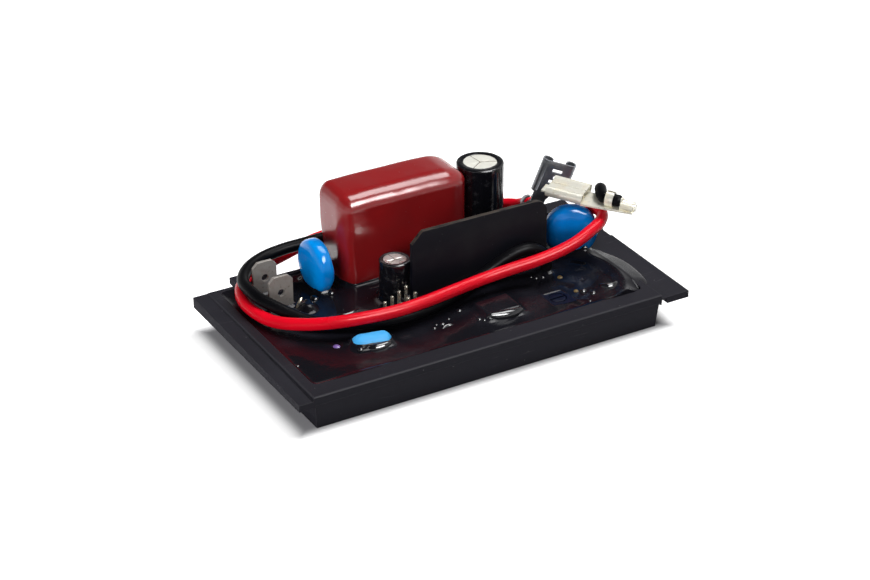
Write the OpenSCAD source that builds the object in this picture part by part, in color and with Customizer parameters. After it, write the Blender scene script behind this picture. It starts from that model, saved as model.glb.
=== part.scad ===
// Potted voltage regulator of a generator: a shallow moulded tray with a side flange
// at each end, a circuit board under black casting resin, the tall parts that stand
// out of the resin, two tab terminals and two soft leads with push-on receptacles.
// Millimetres. The origin is the centre of the tray's bottom face, X runs along the
// tray, the front is towards -Y and +Z is up.

/* [Tray] */
// Length of the tray's box over its rim
box_l = 94.6; // [94:0.5:104]
// Width of the tray's box over its rim
box_w = 56.2; // [55.6:0.2:64]
// Height of the rim above the bottom face
rim_h = 9.5; // [9.4:0.1:11]
// Thickness of the tray's floor
floor_t = 1.6; // [1:0.1:1.8]
// Width of the rim at the left end
rim_left_w = 2.6; // [1.6:0.1:3]
// Width of the rim at the right end
rim_right_w = 2.2; // [1.6:0.1:3]
// Width of the rim along the front
rim_front_w = 5; // [2:0.1:5.4]
// Width of the rim along the back
rim_back_w = 1.5; // [1.2:0.1:2]
// Height of the collar under the rim
collar_h = 2.2; // [1:0.1:3]
// Step from the collar in to the wall
collar_step = 0.6; // [0.2:0.1:1]
// How far the long walls lean in from the collar to the bottom
side_draft = 1.3; // [0:0.1:1.6]
// How far the left end wall leans in from the collar to the bottom
end_draft = 0.9; // [0:0.1:1.2]
// Radius of the upright corners inside the tray
inner_r = 1.5; // [0.5:0.1:2.5]
// Chamfer on the outer top edges of the rim
rim_chamfer = 0.3; // [0.1:0.05:0.5]

/* [Flanges] */
// Reach of the left flange from the rim
left_flange_w = 3.7; // [2:0.1:8]
// Reach of the right flange from the rim
right_flange_w = 7.9; // [4:0.1:10]
// Drop from the rim to the flange top at the back
flange_drop_back = 0.3; // [0.1:0.05:0.8]
// Drop from the rim to the flange top at the front
flange_drop_front = 0.95; // [0.3:0.05:1.2]
// Thickness of the flanges at the back
flange_t_back = 2.8; // [1.6:0.1:3.4]
// Thickness of the flanges at the front
flange_t_front = 1.8; // [1.4:0.1:3]
// Width of the groove under the right flange
groove_w = 1.6; // [1:0.1:2.4]
// Thickness of the web over the groove
web_t = 0.6; // [0.4:0.1:1]
// Length of the notch in the right flange's outer edge
notch_l = 3.8; // [2:0.1:6]
// Depth of that notch
notch_d = 0.4; // [0.2:0.1:0.8]
// Length of the lug behind the back wall
lug_l = 10.3; // [6:0.1:14]
// Reach of the lug from the back wall
lug_reach = 4.4; // [2:0.1:6]
// Thickness of the lug
lug_t = 1.7; // [1:0.1:2.4]

/* [Potting and board] */
// Drop from the rim to the resin
resin_drop = 0.3; // [0.1:0.1:0.6]
// Clearance of the resin round whatever it encloses
pot_gap = 0.05; // [0.03:0.01:0.1]
// Height of the bosses under the board
boss_h = 1.6; // [1:0.1:2]
// Diameter of the bosses under the board
boss_d = 5; // [4:0.5:7]
// Thickness of the circuit board
board_t = 1.6; // [1:0.1:1.8]
// Space between the board's edge and the tray's wall
board_margin = 1; // [0.6:0.1:2]

/* [Film capacitor] */
// Length of the dipped film capacitor
film_l = 36.6; // [30:0.2:37.4]
// Width of the film capacitor
film_w = 11.9; // [9:0.1:12.6]
// Height of its top above the board
film_h = 28.2; // [20:0.2:32]
// Radius of its rounded edges
film_r = 4.5; // [2.5:0.1:4.5]
// Space between the board and its underside
film_lift = 0.5; // [0.3:0.1:1]
// Space between its back and the tray's back wall
film_gap = 0.5; // [0.4:0.1:1]

/* [Electrolytic capacitors] */
// Radius of the tall capacitor over its sleeve
tall_r = 6; // [5:0.1:6.3]
// Height of the tall capacitor above the board
tall_h = 25.8; // [18:0.2:30]
// Radius of the small capacitor over its sleeve
small_r = 3.9; // [3:0.1:4]
// Height of the small capacitor above the board
small_h = 14.3; // [10:0.1:16]
// Wall of the shrink sleeves
sleeve_t = 0.15; // [0.1:0.05:0.3]
// Width of the sleeve's lip over the can's top
lip_w = 0.9; // [0.6:0.1:1.2]
// Depth of the vent lines scored in the cans' tops
vent_d = 0.12; // [0.05:0.01:0.2]

/* [Varistors] */
// Radius of the coated discs
disc_r = 6.5; // [5:0.1:6.6]
// Thickness of the coated discs
disc_t = 4.6; // [3:0.1:4.8]
// Height of the left disc's centre above the board
left_disc_h = 10.2; // [8:0.1:12]
// Height of the right disc's centre above the board
right_disc_h = 11; // [8:0.1:11.2]
// Spacing of the discs' wire legs
disc_pitch = 7.5; // [5:0.5:7.5]

/* [Heat sink] */
// Length of the heat sink plate
plate_l = 38; // [30:0.5:38.6]
// Height of the plate's top above the board
plate_h = 22.5; // [17:0.5:26]
// Thickness of the plate
plate_t = 1.2; // [0.8:0.1:1.6]
// Radius of the plate's right top corner
plate_r = 3.5; // [1:0.5:5]
// Size of the plate's left top chamfer
plate_chamfer = 3; // [1:0.5:4]
// Reach of the bent feet over the board
foot_reach = 6.5; // [4:0.5:7]
// Inner radius of the bend above the feet
bend_r = 0.8; // [0.4:0.1:1.5]

/* [Tab terminals] */
// Width of the tab terminals
tab_w = 6.3; // [4.8:0.1:6.6]
// Thickness of the tab terminals
tab_t = 0.8; // [0.5:0.1:1]
// Height of the tabs above the board
tab_h = 13.4; // [11:0.1:15]
// Chamfer on the tabs' top corners
tab_chamfer = 1.3; // [0.5:0.1:1.8]
// Diameter of the latch hole in each tab
tab_hole_d = 1.8; // [1.2:0.1:2]
// Distance from the tip to the latch hole
tab_hole_drop = 4.4; // [3.5:0.1:4.6]
// Distance between the front and the rear tab
tab_pitch = 8.7; // [7:0.1:9]

/* [Header] */
// Pitch of the header pins
pin_pitch = 3.1; // [2.5:0.1:3.2]
// Side of the square pins
pin_w = 0.64; // [0.5:0.01:0.8]
// Height of the back row above the board
pin_h = 9.2; // [7:0.1:11]
// Distance between the two rows
row_gap = 2.54; // [2.4:0.01:2.7]

/* [Board parts] */
// Length of the bridge rectifier
bridge_l = 9.4; // [8:0.1:10]
// Width of the bridge rectifier
bridge_w = 7.2; // [6:0.1:8]
// Height of its top above the board
bridge_h = 6; // [5:0.1:7]
// Side of the trimmer's square body
trimmer_w = 6.6; // [5:0.1:7]
// Height of the trimmer above the board
trimmer_h = 4.6; // [4:0.1:5]
// Length of the dipped blue capacitor
blue_l = 9.5; // [8:0.1:10]
// Width of the blue capacitor
blue_w = 4.5; // [3.6:0.1:5]
// Height of its top above the board
blue_h = 6; // [5:0.1:7]
// Radius of the bead capacitor
bead_r = 1.6; // [1.3:0.1:1.8]
// Height of the bead's top above the board
bead_h = 5.1; // [4.8:0.1:5.6]

/* [Receptacles] */
// Width over the curled sides
rec_w = 8.8; // [7.6:0.1:8.8]
// Length of the curled box
rec_l = 9.4; // [8:0.1:9.4]
// Thickness of the sheet
rec_t = 0.4; // [0.3:0.05:0.5]
// Outer radius of the curls
curl_r = 1.35; // [1.25:0.05:1.4]
// Bend of the red lead's receptacle between crimp and box
neck_bend = 67; // [50:1:75]
// Turn of the red lead's receptacle about its crimp
red_roll = -19; // [-40:1:0]
// Clearance of the crimps round the lead
crimp_gap = 0.06; // [0.05:0.01:0.1]

/* [Leads] */
// Outer diameter of the leads
lead_d = 3; // [2.4:0.1:3]

/* [Hidden] */
$fn = 48;

// A little more than the cut needs, so that no face is left in its plane
over = 0.5;

// Tray
half_l = box_l / 2;
half_w = box_w / 2;
collar_z = rim_h - collar_h;
end_step = collar_step / 2;
left_in = -half_l + rim_left_w;
right_in = half_l - rim_right_w;
front_in = -half_w + rim_front_w;
back_in = half_w - rim_back_w;
flange_z_back = rim_h - flange_drop_back;
flange_z_front = rim_h - flange_drop_front;
lug_x = -34.1;
lug_z = rim_h - 0.1;
notch_y = 7.1;
boss_inset = 5;

// Levels
board_z = floor_t + boss_h;
board_top = board_z + board_t;
resin_z = rim_h - resin_drop;

// Film capacitor and what stands beside it
film_y = back_in - film_gap - film_w / 2;
film_lead_d = 1;
film_lead_pitch = 27.5;
stand_gap = 0.4;
tall_x = film_l / 2 + stand_gap + tall_r;
tall_y = back_in - stand_gap - 0.2 - tall_r;
left_disc_x = -film_l / 2 - 2.1 - disc_t / 2;
left_disc_y = film_y - 2.15;

// Heat sink, with the parts that stand against it
plate_x = -6.2;
plate_y = -0.2;
plate_back = plate_y + plate_t;
small_gap = 0.3;
small_angle = 120;
small_x = plate_x + (small_r + small_gap) * cos(small_angle);
small_y = plate_back + (small_r + small_gap) * sin(small_angle);
left_foot = [3, 11];
right_foot = [26, 37];
transistor_x = 12.8;
transistor_l = 10.2;
transistor_t = 4.5;
transistor_h = 15;
transistor_lift = 2.2;
pin_row = 2.54;

// Right varistor
right_disc_x = 40.2;
right_disc_y = 1.8;
right_disc_turn = -30;
disc_edge_r = disc_t * 0.36;
disc_leg_d = 0.8;
leg_skirt = 1.4;

// Electrolytic capacitors
can_gap = 0.03;
tall_can_r = tall_r - sleeve_t - can_gap;
small_can_r = small_r - sleeve_t - can_gap;
bung_h = 1.5;
can_wall = 0.35;
bead_groove = 0.35;
can_round = 0.5;

// Tabs
tab_x = -35.15;
tab_y = 12.3;
tab_shoulder = 2.4;
tab_leg_w = 1.4;

// Header
header_x = -16.1;
header_y = -4.5;
header_turn = 28.2;
header_pins_back = [0, 1, 2, 3];
header_pins_front = [1, 2, 3];
front_pin_drop = 1;
header_base_h = 2.5;
header_margin = 0.6;
pin_tip = 0.15;

// Small parts on the board
bridge_x = 8.95;
bridge_y = -14.4;
bridge_lift = 0.8;
bridge_draft = 0.35;
trimmer_x = 24.8;
trimmer_y = -16.4;
dial_r = 2;
slot_w = 0.6;
slot_d = 0.35;
blue_x = -25.2;
blue_y = -12.9;
bead_x = -32;
bead_y = -10.1;
leg_d = 0.6;
leg_pitch = 5;
bead_pitch = 1.6;
chip_x = -9;
chip_y = -17;
chip_l = 9.6;
chip_w = 6.4;
chip_h = 3.3;
chip_lift = 0.4;
chip_leg_w = 0.5;
chip_legs = 4;
diode_x = 34;
diode_ys = [-19, -15, -11];
diode_d = 2.7;
diode_l = 5.2;
resistor_x = [-39, -38, 34];
resistor_y = [-18, 1, 12];
resistor_d = 2.3;
resistor_l = 6.3;
axial_lift = 0.2;
axial_reach = 2.2;

// Receptacles, measured along each one from the end of its lead's cover
rec_lead_z = rec_t + lead_d / 2 + crimp_gap;
strip_w = 3.6;
core_l = 3.2;
core_r = 1.1;
ring_l = 2;
neck_l = 1.6;
slot_h = 1;
neck_rise = 6.1;
neck_side = 2;
neck_side_w = 0.8;
window_w = 2.6;
window_places = [0.4, 0.74];
dimple_place = 0.54;
dimple_d = 1;
lip_l = 1.8;
rib_places = [0.36, 0.68];
rib_h = 0.2;

// Route of the red lead, from the resin to its receptacle
red_route = [[43.4, 8, resin_z], [43.4, 8, 12], [43.9, 7.4, 15], [45.7, 5.4, 17.8],
    [47.6, 2, 19.7], [47.2, -1.4, 19.9], [44.6, -4.5, 19.6], [40.4, -6.3, 18.8],
    [36, -7.3, 17.6], [31.5, -7.6, 16.6], [25.6, -7.4, 15.6], [17, -6.6, 14.6],
    [9, -6.6, 14], [0.2, -8, 14], [-8.2, -9.3, 14], [-15.4, -9.8, 14],
    [-23.6, -9, 14], [-32, -6, 13.4], [-37.6, -1.1, 12.3], [-41.3, 5, 11.3],
    [-42.8, 10.8, 11.2], [-42.8, 16.8, 11.2], [-40.7, 22.7, 11.2], [-36.7, 27.3, 11.3],
    [-31, 30.4, 11.4], [-24, 32.2, 12], [-16, 32.8, 13.6], [-6, 32.6, 14.4],
    [8, 32.4, 14.6], [19, 32.4, 13.6], [27, 32.8, 12.1], [33, 33, 10.9],
    [37, 32.2, 10.4], [39.9, 30.5, 10.6], [41.5, 28, 11.2], [42.1, 26.2, 12.2],
    [41.76, 24.1, 13.45], [41.06, 22.03, 14.15]];
// Route of the black lead, from the resin to its receptacle
black_route = [[29.6, -3.6, resin_z], [29.6, -3.6, 12], [28, -3.4, 15], [25, -3.1, 16.6],
    [21.6, -2.8, 16.4], [18, -2.4, 15], [13.4, -2.2, 12.9], [9, -2.9, 11.6],
    [4, -4.6, 11], [-3, -7, 10.9], [-13.9, -8.2, 10.9], [-22, -6.4, 10.9],
    [-29.3, -2.6, 10.9], [-33.8, 0.8, 11.3], [-36.6, 4.2, 12.2], [-39.2, 7.8, 13.3],
    [-41.2, 11.6, 14.1], [-41.6, 16, 14.3], [-40.9, 20.8, 14.3], [-37.6, 25.4, 14.5],
    [-32.3, 28.4, 14.8], [-26.5, 29.4, 15.1], [-20, 29.2, 15.4], [-13, 29, 15.6],
    [-4, 28.8, 15.4], [8, 28.9, 14.4], [20, 29.2, 12.6], [28, 28.6, 11.6],
    [34.5, 26, 10.8], [40, 21, 10.75], [45.4, 16.4, 11.5], [49, 11.8, 15],
    [50.6, 7.6, 18], [50.8, 5, 20.8], [50, 3.3, 23], [48.2, 1, 25.5],
    [46.6, -2.7, 25.2], [49.4, -6.3, 24.8]];
lead_sides = 8;

// Rectangle from corner to corner with round corners
module rounded_rect(x0, x1, y0, y1, r) {
    translate([x0 + r, y0]) square([x1 - x0 - 2 * r, y1 - y0]);
    translate([x0, y0 + r]) square([x1 - x0, y1 - y0 - 2 * r]);
    for (x = [x0 + r, x1 - r], y = [y0 + r, y1 - r]) translate([x, y]) circle(r);
}

// A drawing in X and Z, drawn out along Y from y0 to y1
module along_y(y0, y1) {
    translate([0, y1, 0]) rotate([90, 0, 0]) linear_extrude(y1 - y0) children();
}

// A drawing in Y and Z, drawn out along X from x0 to x1
module along_x(x0, x1) {
    translate([x0, 0, 0]) rotate([90, 0, 90]) linear_extrude(x1 - x0) children();
}

// Straight wire leg that stands on the board
module leg(x, y, d, top, grow = 0) {
    translate([x, y, board_top]) cylinder(h = top - board_top, r = d / 2 + grow);
}

// Box between two corners, grown on the sides and the top but not underneath
module block(x0, x1, y0, y1, z0, z1, grow = 0) {
    translate([x0 - grow, y0 - grow, z0])
        cube([x1 - x0 + 2 * grow, y1 - y0 + 2 * grow, z1 - z0 + grow]);
}

// Inside outline of the tray, smaller by gap
module tray_outline(gap = 0) {
    rounded_rect(left_in + gap, right_in - gap, front_in + gap, back_in - gap, inner_r);
}

// Bosses under the board, at its corners
module bosses(grow = 0) {
    xs = [left_in + boss_inset, right_in - boss_inset];
    ys = [front_in + boss_inset, back_in - boss_inset];
    for (x = xs, y = ys)
        translate([x, y, floor_t - over]) cylinder(h = boss_h + over, r = boss_d / 2 + grow);
}

// Outer form of the box: an end profile and a side profile that cross
module tray_body() {
    intersection() {
        along_y(-half_w - over, half_w + over) polygon([
            [-half_l + collar_step + end_draft, 0], [half_l - end_step, 0],
            [half_l - end_step, collar_z], [half_l, collar_z],
            [half_l, rim_h - rim_chamfer], [half_l - rim_chamfer, rim_h],
            [-half_l + rim_chamfer, rim_h], [-half_l, rim_h - rim_chamfer],
            [-half_l, collar_z], [-half_l + collar_step, collar_z]]);
        along_x(-half_l - over, half_l + over) polygon([
            [-half_w + collar_step + side_draft, 0], [half_w - collar_step - side_draft, 0],
            [half_w - collar_step, collar_z], [half_w, collar_z],
            [half_w, rim_h - rim_chamfer], [half_w - rim_chamfer, rim_h],
            [-half_w + rim_chamfer, rim_h], [-half_w, rim_h - rim_chamfer],
            [-half_w, collar_z], [-half_w + collar_step, collar_z]]);
    }
}

// Side flange from x0 to x1, whose top falls towards the front
module flange(x0, x1) {
    along_x(x0, x1) polygon([
        [-half_w, flange_z_front], [half_w, flange_z_back],
        [half_w, flange_z_back - flange_t_back], [-half_w, flange_z_front - flange_t_front]]);
}

// Groove under the right flange, which leaves a thin web over it
module flange_groove() {
    along_x(half_l, half_l + groove_w) polygon([
        [-half_w - over, flange_z_front - web_t], [half_w + over, flange_z_back - web_t],
        [half_w + over, 0], [-half_w - over, 0]]);
}

module tray_outside() {
    tray_body();
    flange(-half_l - left_flange_w, -half_l + over);
    flange(half_l - over, half_l + right_flange_w);
    block(lug_x - lug_l / 2, lug_x + lug_l / 2, half_w - over, half_w + lug_reach,
        lug_z - lug_t, lug_z);
}

module tray() color([0.17, 0.17, 0.19]) {
    difference() {
        tray_outside();
        translate([0, 0, floor_t]) linear_extrude(rim_h) tray_outline();
        flange_groove();
        block(half_l + right_flange_w - notch_d, half_l + right_flange_w + over,
            notch_y - notch_l / 2, notch_y + notch_l / 2, 0, rim_h);
    }
    bosses();
}

module circuit_board() color([0.1, 0.36, 0.2]) {
    gap = board_margin;
    translate([0, 0, board_z]) linear_extrude(board_t) tray_outline(gap);
}

// Upright round corners of the film capacitor, with its legs
module film_pocket(grow = 0) {
    translate([0, film_y, board_top + film_lift - grow]) linear_extrude(film_h)
        rounded_rect(-film_l / 2 - grow, film_l / 2 + grow, -film_w / 2 - grow, film_w / 2 + grow, film_r);
    for (s = [-1, 1]) leg(s * film_lead_pitch / 2, film_y, film_lead_d, board_top + film_lift, grow);
}

module film_capacitor() color([0.6, 0.1, 0.12]) {
    hull() {
        for (x = [-1, 1] * (film_l / 2 - film_r), y = [-1, 1] * (film_w / 2 - film_r)) {
            translate([x, film_y + y, board_top + film_lift]) cylinder(h = 1, r = film_r, $fn = 32);
            translate([x, film_y + y, board_top + film_h - film_r]) sphere(film_r, $fn = 32);
        }
    }
    for (s = [-1, 1])
        leg(s * film_lead_pitch / 2, film_y, film_lead_d, board_top + film_lift + over);
}

// Can of an electrolytic capacitor: drawn cup with a rolled groove over its bung and
// scored vent lines in its top
module can(x, y, r, h) {
    translate([x, y, board_top]) difference() {
        rotate_extrude() {
            difference() {
                union() {
                    square([r - can_round, h]);
                    square([r, h - can_round]);
                    translate([r - can_round, h - can_round]) circle(can_round);
                }
                translate([r + bead_groove / 2, bung_h]) circle(bead_groove);
            }
        }
        translate([0, 0, -over]) cylinder(h = bung_h + over, r = r - can_wall - bead_groove);
        for (turn = [0, 60, 120])
            rotate(turn) translate([-r * 0.55, -vent_d, h - vent_d]) cube([r * 1.1, 2 * vent_d, 1]);
    }
}

// Shrink sleeve round a can, with a lip over the edge of its top
module sleeve(x, y, r, h) {
    inner_h = h + can_gap;
    translate([x, y, board_top]) rotate_extrude() difference() {
        square([r, inner_h + sleeve_t]);
        square([r - sleeve_t, inner_h]);
        square([r - lip_w - sleeve_t, h + 1]);
    }
}

// Rubber bung that closes a can
module bung(x, y, r) {
    translate([x, y, board_top]) cylinder(h = bung_h - can_gap, r = r - can_wall - bead_groove - can_gap);
}

module tall_capacitor_can() color([0.75, 0.76, 0.78]) can(tall_x, tall_y, tall_can_r, tall_h);
module tall_capacitor_sleeve() color([0.06, 0.06, 0.08]) sleeve(tall_x, tall_y, tall_r, tall_h);
module tall_capacitor_bung() color([0.12, 0.12, 0.12]) bung(tall_x, tall_y, tall_can_r);
module small_capacitor_can() color([0.75, 0.76, 0.78]) can(small_x, small_y, small_can_r, small_h);
module small_capacitor_sleeve() color([0.06, 0.06, 0.08]) sleeve(small_x, small_y, small_r, small_h);
module small_capacitor_bung() color([0.12, 0.12, 0.12]) bung(small_x, small_y, small_can_r);

// Coated disc with its axis along Y, its edge rounded, and its two legs down to the
// board with the coating run down them
module disc(height, grow = 0) {
    edge = disc_edge_r;
    flat = disc_t / 2 - edge;
    translate([0, 0, board_top + height]) rotate([90, 0, 0]) rotate_extrude() {
        translate([0, -disc_t / 2 - grow]) square([disc_r - edge, disc_t + 2 * grow]);
        translate([0, -flat]) square([disc_r + grow, 2 * flat]);
        for (s = [-1, 1]) translate([disc_r - edge, s * flat]) circle(edge + grow);
    }
    for (s = [-1, 1]) translate([s * disc_pitch / 2, 0, board_top]) {
        leg_r = disc_leg_d / 2 + grow;
        cylinder(h = height - disc_r / 2, r = leg_r);
        translate([0, 0, height - disc_r]) cylinder(h = disc_r / 2, r1 = leg_r, r2 = leg_skirt + grow);
    }
}

module left_disc(grow = 0) {
    translate([left_disc_x, left_disc_y, 0]) rotate(90) disc(left_disc_h, grow);
}

module right_disc(grow = 0) {
    translate([right_disc_x, right_disc_y, 0]) rotate(right_disc_turn) disc(right_disc_h, grow);
}

module varistor_left() color([0, 0.45, 0.92]) left_disc();
module varistor_right() color([0, 0.45, 0.92]) right_disc();

// Dipped capacitor on its two legs: upright sides and a half-round top
module blue_form(grow = 0) {
    r = blue_w / 2 + grow;
    run = blue_l / 2 - blue_w / 2;
    mid_z = board_top + blue_h - blue_w / 2;
    translate([blue_x, blue_y, 0]) {
        translate([0, 0, mid_z]) rotate([0, 90, 0]) cylinder(h = 2 * run, r = r, center = true);
        for (s = [-1, 1]) translate([s * run, 0, mid_z]) sphere(r);
        translate([0, 0, board_top + film_lift]) linear_extrude(mid_z - board_top - film_lift)
            rounded_rect(-run - r, run + r, -r, r, r - 0.01);
    }
    for (s = [-1, 1]) leg(blue_x + s * leg_pitch / 2, blue_y, leg_d, board_top + 1, grow);
}

module blue_capacitor() color([0.35, 0.74, 0.96]) blue_form();

// Bead capacitor on its two legs
module bead_form(grow = 0) {
    translate([bead_x, bead_y, board_top + bead_h - bead_r]) sphere(bead_r + grow);
    for (s = [-1, 1]) leg(bead_x + s * bead_pitch / 2, bead_y, leg_d, board_top + bead_h - bead_r, grow);
}

module bead_capacitor() color([0.58, 0.43, 0.82]) bead_form();

// Outline of the heat sink plate in X and Z
module plate_outline(grow = 0) {
    x0 = plate_x - grow;
    x1 = plate_x + plate_l + grow;
    z1 = board_top + plate_h + grow;
    difference() {
        union() {
            translate([x0, board_top]) square([x1 - x0 - plate_r, z1 - board_top]);
            translate([x0, board_top]) square([x1 - x0, z1 - board_top - plate_r]);
            translate([x1 - plate_r, z1 - plate_r]) circle(plate_r);
        }
        polygon([[x0 - over, z1 - plate_chamfer - over], [x0 - over, z1 + over],
            [x0 + plate_chamfer + over, z1 + over]]);
    }
}

// Section of the plate with a foot bent back over the board, in Y and Z
module foot_section(grow = 0) {
    outer = bend_r + plate_t;
    translate([plate_y - grow, board_top + outer]) square([plate_t + 2 * grow, over]);
    translate([plate_y + outer, board_top - grow]) square([foot_reach - outer + grow, plate_t + 2 * grow]);
    translate([plate_y + outer, board_top + outer]) intersection() {
        difference() {
            circle(outer + grow);
            circle(bend_r - grow);
        }
        translate([-outer - grow, -outer - grow]) square(outer + grow);
    }
}

// Plate that stands on two bent feet, with the edge between the feet cut clear
module sink_form(grow = 0) {
    outer = bend_r + plate_t;
    difference() {
        along_y(plate_y - grow, plate_back + grow) plate_outline(grow);
        block(plate_x - 1, plate_x + plate_l + 1, plate_y - 1, plate_back + 1, 0, board_top + outer);
    }
    for (foot = [left_foot, right_foot])
        along_x(plate_x + foot[0] - grow, plate_x + foot[1] + grow) foot_section(grow);
}

module heat_sink() color([0.09, 0.09, 0.1]) sink_form();

// Power transistor flat against the back of the plate
module transistor_form(grow = 0) {
    z0 = board_top + transistor_lift;
    block(transistor_x - transistor_l / 2, transistor_x + transistor_l / 2,
        plate_back, plate_back + transistor_t, z0 - grow, z0 + transistor_h, grow);
    for (s = [-1, 0, 1])
        block(transistor_x + s * pin_row - leg_d / 2, transistor_x + s * pin_row + leg_d / 2,
            plate_back + 2, plate_back + 2 + leg_d, board_top, z0, grow);
}

module power_transistor() color([0.13, 0.13, 0.14]) difference() {
    transistor_form();
    translate([transistor_x, plate_back, board_top + transistor_lift + transistor_h - 3.2])
        rotate([90, 0, 0]) cylinder(h = 4 * transistor_t, d = 3.2, center = true);
}

// Push-on tab with chamfered tip and latch hole, on two legs
module tab_form(y, grow = 0) {
    x0 = tab_x - tab_w / 2 - grow;
    x1 = tab_x + tab_w / 2 + grow;
    z1 = board_top + tab_h;
    along_y(y - tab_t / 2 - grow, y + tab_t / 2 + grow) {
        polygon([[x0, board_top + tab_shoulder - grow], [x1, board_top + tab_shoulder - grow],
            [x1, z1 - tab_chamfer], [x1 - tab_chamfer, z1],
            [x0 + tab_chamfer, z1], [x0, z1 - tab_chamfer]]);
        for (x = [x0, x1 - tab_leg_w - 2 * grow])
            translate([x, board_top]) square([tab_leg_w + 2 * grow, tab_shoulder]);
    }
}

module tab_blade(y) {
    difference() {
        tab_form(y);
        translate([tab_x, y, board_top + tab_h - tab_hole_drop]) rotate([90, 0, 0])
            cylinder(h = 4 * tab_t, d = tab_hole_d, center = true);
    }
}

module rear_blade() color([0.5, 0.48, 0.44]) tab_blade(tab_y + tab_pitch);
module front_blade() color([0.5, 0.48, 0.44]) tab_blade(tab_y);

// Places its children along a row of the header
module along_row(places, row) {
    translate([header_x, header_y, board_top]) rotate(header_turn)
        for (i = places) translate([i * pin_pitch, -row * row_gap, 0]) children();
}

// Square pin with a small chamfered tip
module pin(height) {
    w = pin_w / 2;
    intersection() {
        along_y(-w, w) polygon([[-w, 0], [w, 0], [w, height - pin_tip], [w - pin_tip, height],
            [-w + pin_tip, height], [-w, height - pin_tip]]);
        along_x(-w, w) polygon([[-w, 0], [w, 0], [w, height - pin_tip], [w - pin_tip, height],
            [-w + pin_tip, height], [-w, height - pin_tip]]);
    }
}

module header_pins() color([0.8, 0.78, 0.7]) {
    along_row(header_pins_back, 0) pin(pin_h);
    along_row(header_pins_front, 1) pin(pin_h - front_pin_drop);
}

// Moulded bar round the foot of the pins
module header_bar(grow = 0) {
    last_pin = len(header_pins_back) - 1;
    translate([header_x, header_y, board_top]) rotate(header_turn)
        block(-header_margin, last_pin * pin_pitch + header_margin,
            -row_gap - header_margin, header_margin, 0, header_base_h, grow);
}

module header_base() color([0.08, 0.08, 0.09]) difference() {
    header_bar();
    hole = pin_w / 2 + can_gap;
    for (row = [0, 1])
        along_row(row == 0 ? header_pins_back : header_pins_front, row)
            block(-hole, hole, -hole, hole, -over, header_base_h + over);
}

// Moulded body with walls that lean in above and below its parting line
module moulded(l, w, z0, z1, lean, grow = 0) {
    mid = (z0 + z1) / 2;
    x = l / 2 + grow;
    y = w / 2 + grow;
    intersection() {
        along_y(-w, w) polygon([[-x + lean, z0 - grow], [x - lean, z0 - grow], [x, mid],
            [x - lean, z1 + grow], [-x + lean, z1 + grow], [-x, mid]]);
        along_x(-l, l) polygon([[-y + lean, z0 - grow], [y - lean, z0 - grow], [y, mid],
            [y - lean, z1 + grow], [-y + lean, z1 + grow], [-y, mid]]);
    }
}

module bridge_form(grow = 0) {
    translate([bridge_x, bridge_y, 0])
        moulded(bridge_l, bridge_w, board_top + bridge_lift, board_top + bridge_h, bridge_draft, grow);
    leg_top = board_top + bridge_lift + 0.4;
    for (sx = [-1, 1], sy = [-1, 1])
        leg(bridge_x + sx * bridge_l / 4, bridge_y + sy * bridge_w / 4, leg_d, leg_top, grow);
}

module bridge_rectifier() color([0.07, 0.07, 0.08]) bridge_form();

module trimmer_body(grow = 0) {
    translate([trimmer_x, trimmer_y, 0])
        block(-trimmer_w / 2, trimmer_w / 2, -trimmer_w / 2, trimmer_w / 2,
            board_top, board_top + trimmer_h, grow);
}

// Trimmer with its slotted dial set in the top
module trimmer() color([0.05, 0.12, 0.4]) difference() {
    trimmer_body();
    translate([trimmer_x, trimmer_y, board_top + trimmer_h]) {
        difference() {
            cylinder(h = 2 * slot_d, r = dial_r + 0.3, center = true);
            cylinder(h = 3 * slot_d, r = dial_r, center = true);
        }
        cube([2 * dial_r, slot_w, 2 * slot_d], center = true);
    }
}

// Eight-legged chip with a notch in its end
module chip_form(grow = 0) {
    z0 = board_top + chip_lift;
    translate([chip_x, chip_y, 0]) {
        moulded(chip_l, chip_w, z0, z0 + chip_h, 0.3, grow);
        for (i = [0 : chip_legs - 1], s = [-1, 1])
            translate([(i - (chip_legs - 1) / 2) * pin_row, s * (chip_w / 2 + 0.1), 0])
                block(-chip_leg_w / 2, chip_leg_w / 2, -0.3, 0.3, board_top, z0 + chip_h / 2, grow);
    }
}

module control_chip() color([0.1, 0.1, 0.11]) difference() {
    chip_form();
    translate([chip_x - chip_l / 2, chip_y, board_top + chip_lift + chip_h])
        cylinder(h = 1, r = 1, center = true);
}

// Round part that lies on the board between two bent wires
module axial(x, y, d, l, grow = 0) {
    mid = board_top + axial_lift + d / 2;
    translate([x, y, mid]) rotate([0, 90, 0]) {
        cylinder(h = l + 2 * grow, r = d / 2 + grow, center = true);
        cylinder(h = l + 2 * axial_reach, r = leg_d / 2 + grow, center = true);
    }
    for (s = [-1, 1]) {
        translate([x + s * (l / 2 + axial_reach), y, mid]) sphere(leg_d / 2 + grow);
        leg(x + s * (l / 2 + axial_reach), y, leg_d, mid, grow);
    }
}

module diode_forms(grow = 0) {
    for (y = diode_ys) axial(diode_x, y, diode_d, diode_l, grow);
}

module resistor_forms(grow = 0) {
    for (i = [0 : len(resistor_x) - 1])
        axial(resistor_x[i], resistor_y[i], resistor_d, resistor_l, grow);
}

module rectifier_diodes() color([0.12, 0.12, 0.12]) diode_forms();
module resistors() color([0.75, 0.62, 0.42]) resistor_forms();

// Low dome of resin: a cap of a sphere with radius r at the surface and height h
module dome(x, y, r, h) {
    big_r = (r * r + h * h) / (2 * h);
    intersection() {
        translate([x, y, resin_z + h - big_r]) sphere(big_r);
        translate([x, y, resin_z - over]) cylinder(h = h + 2 * over, r = r + 1);
    }
}

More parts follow.
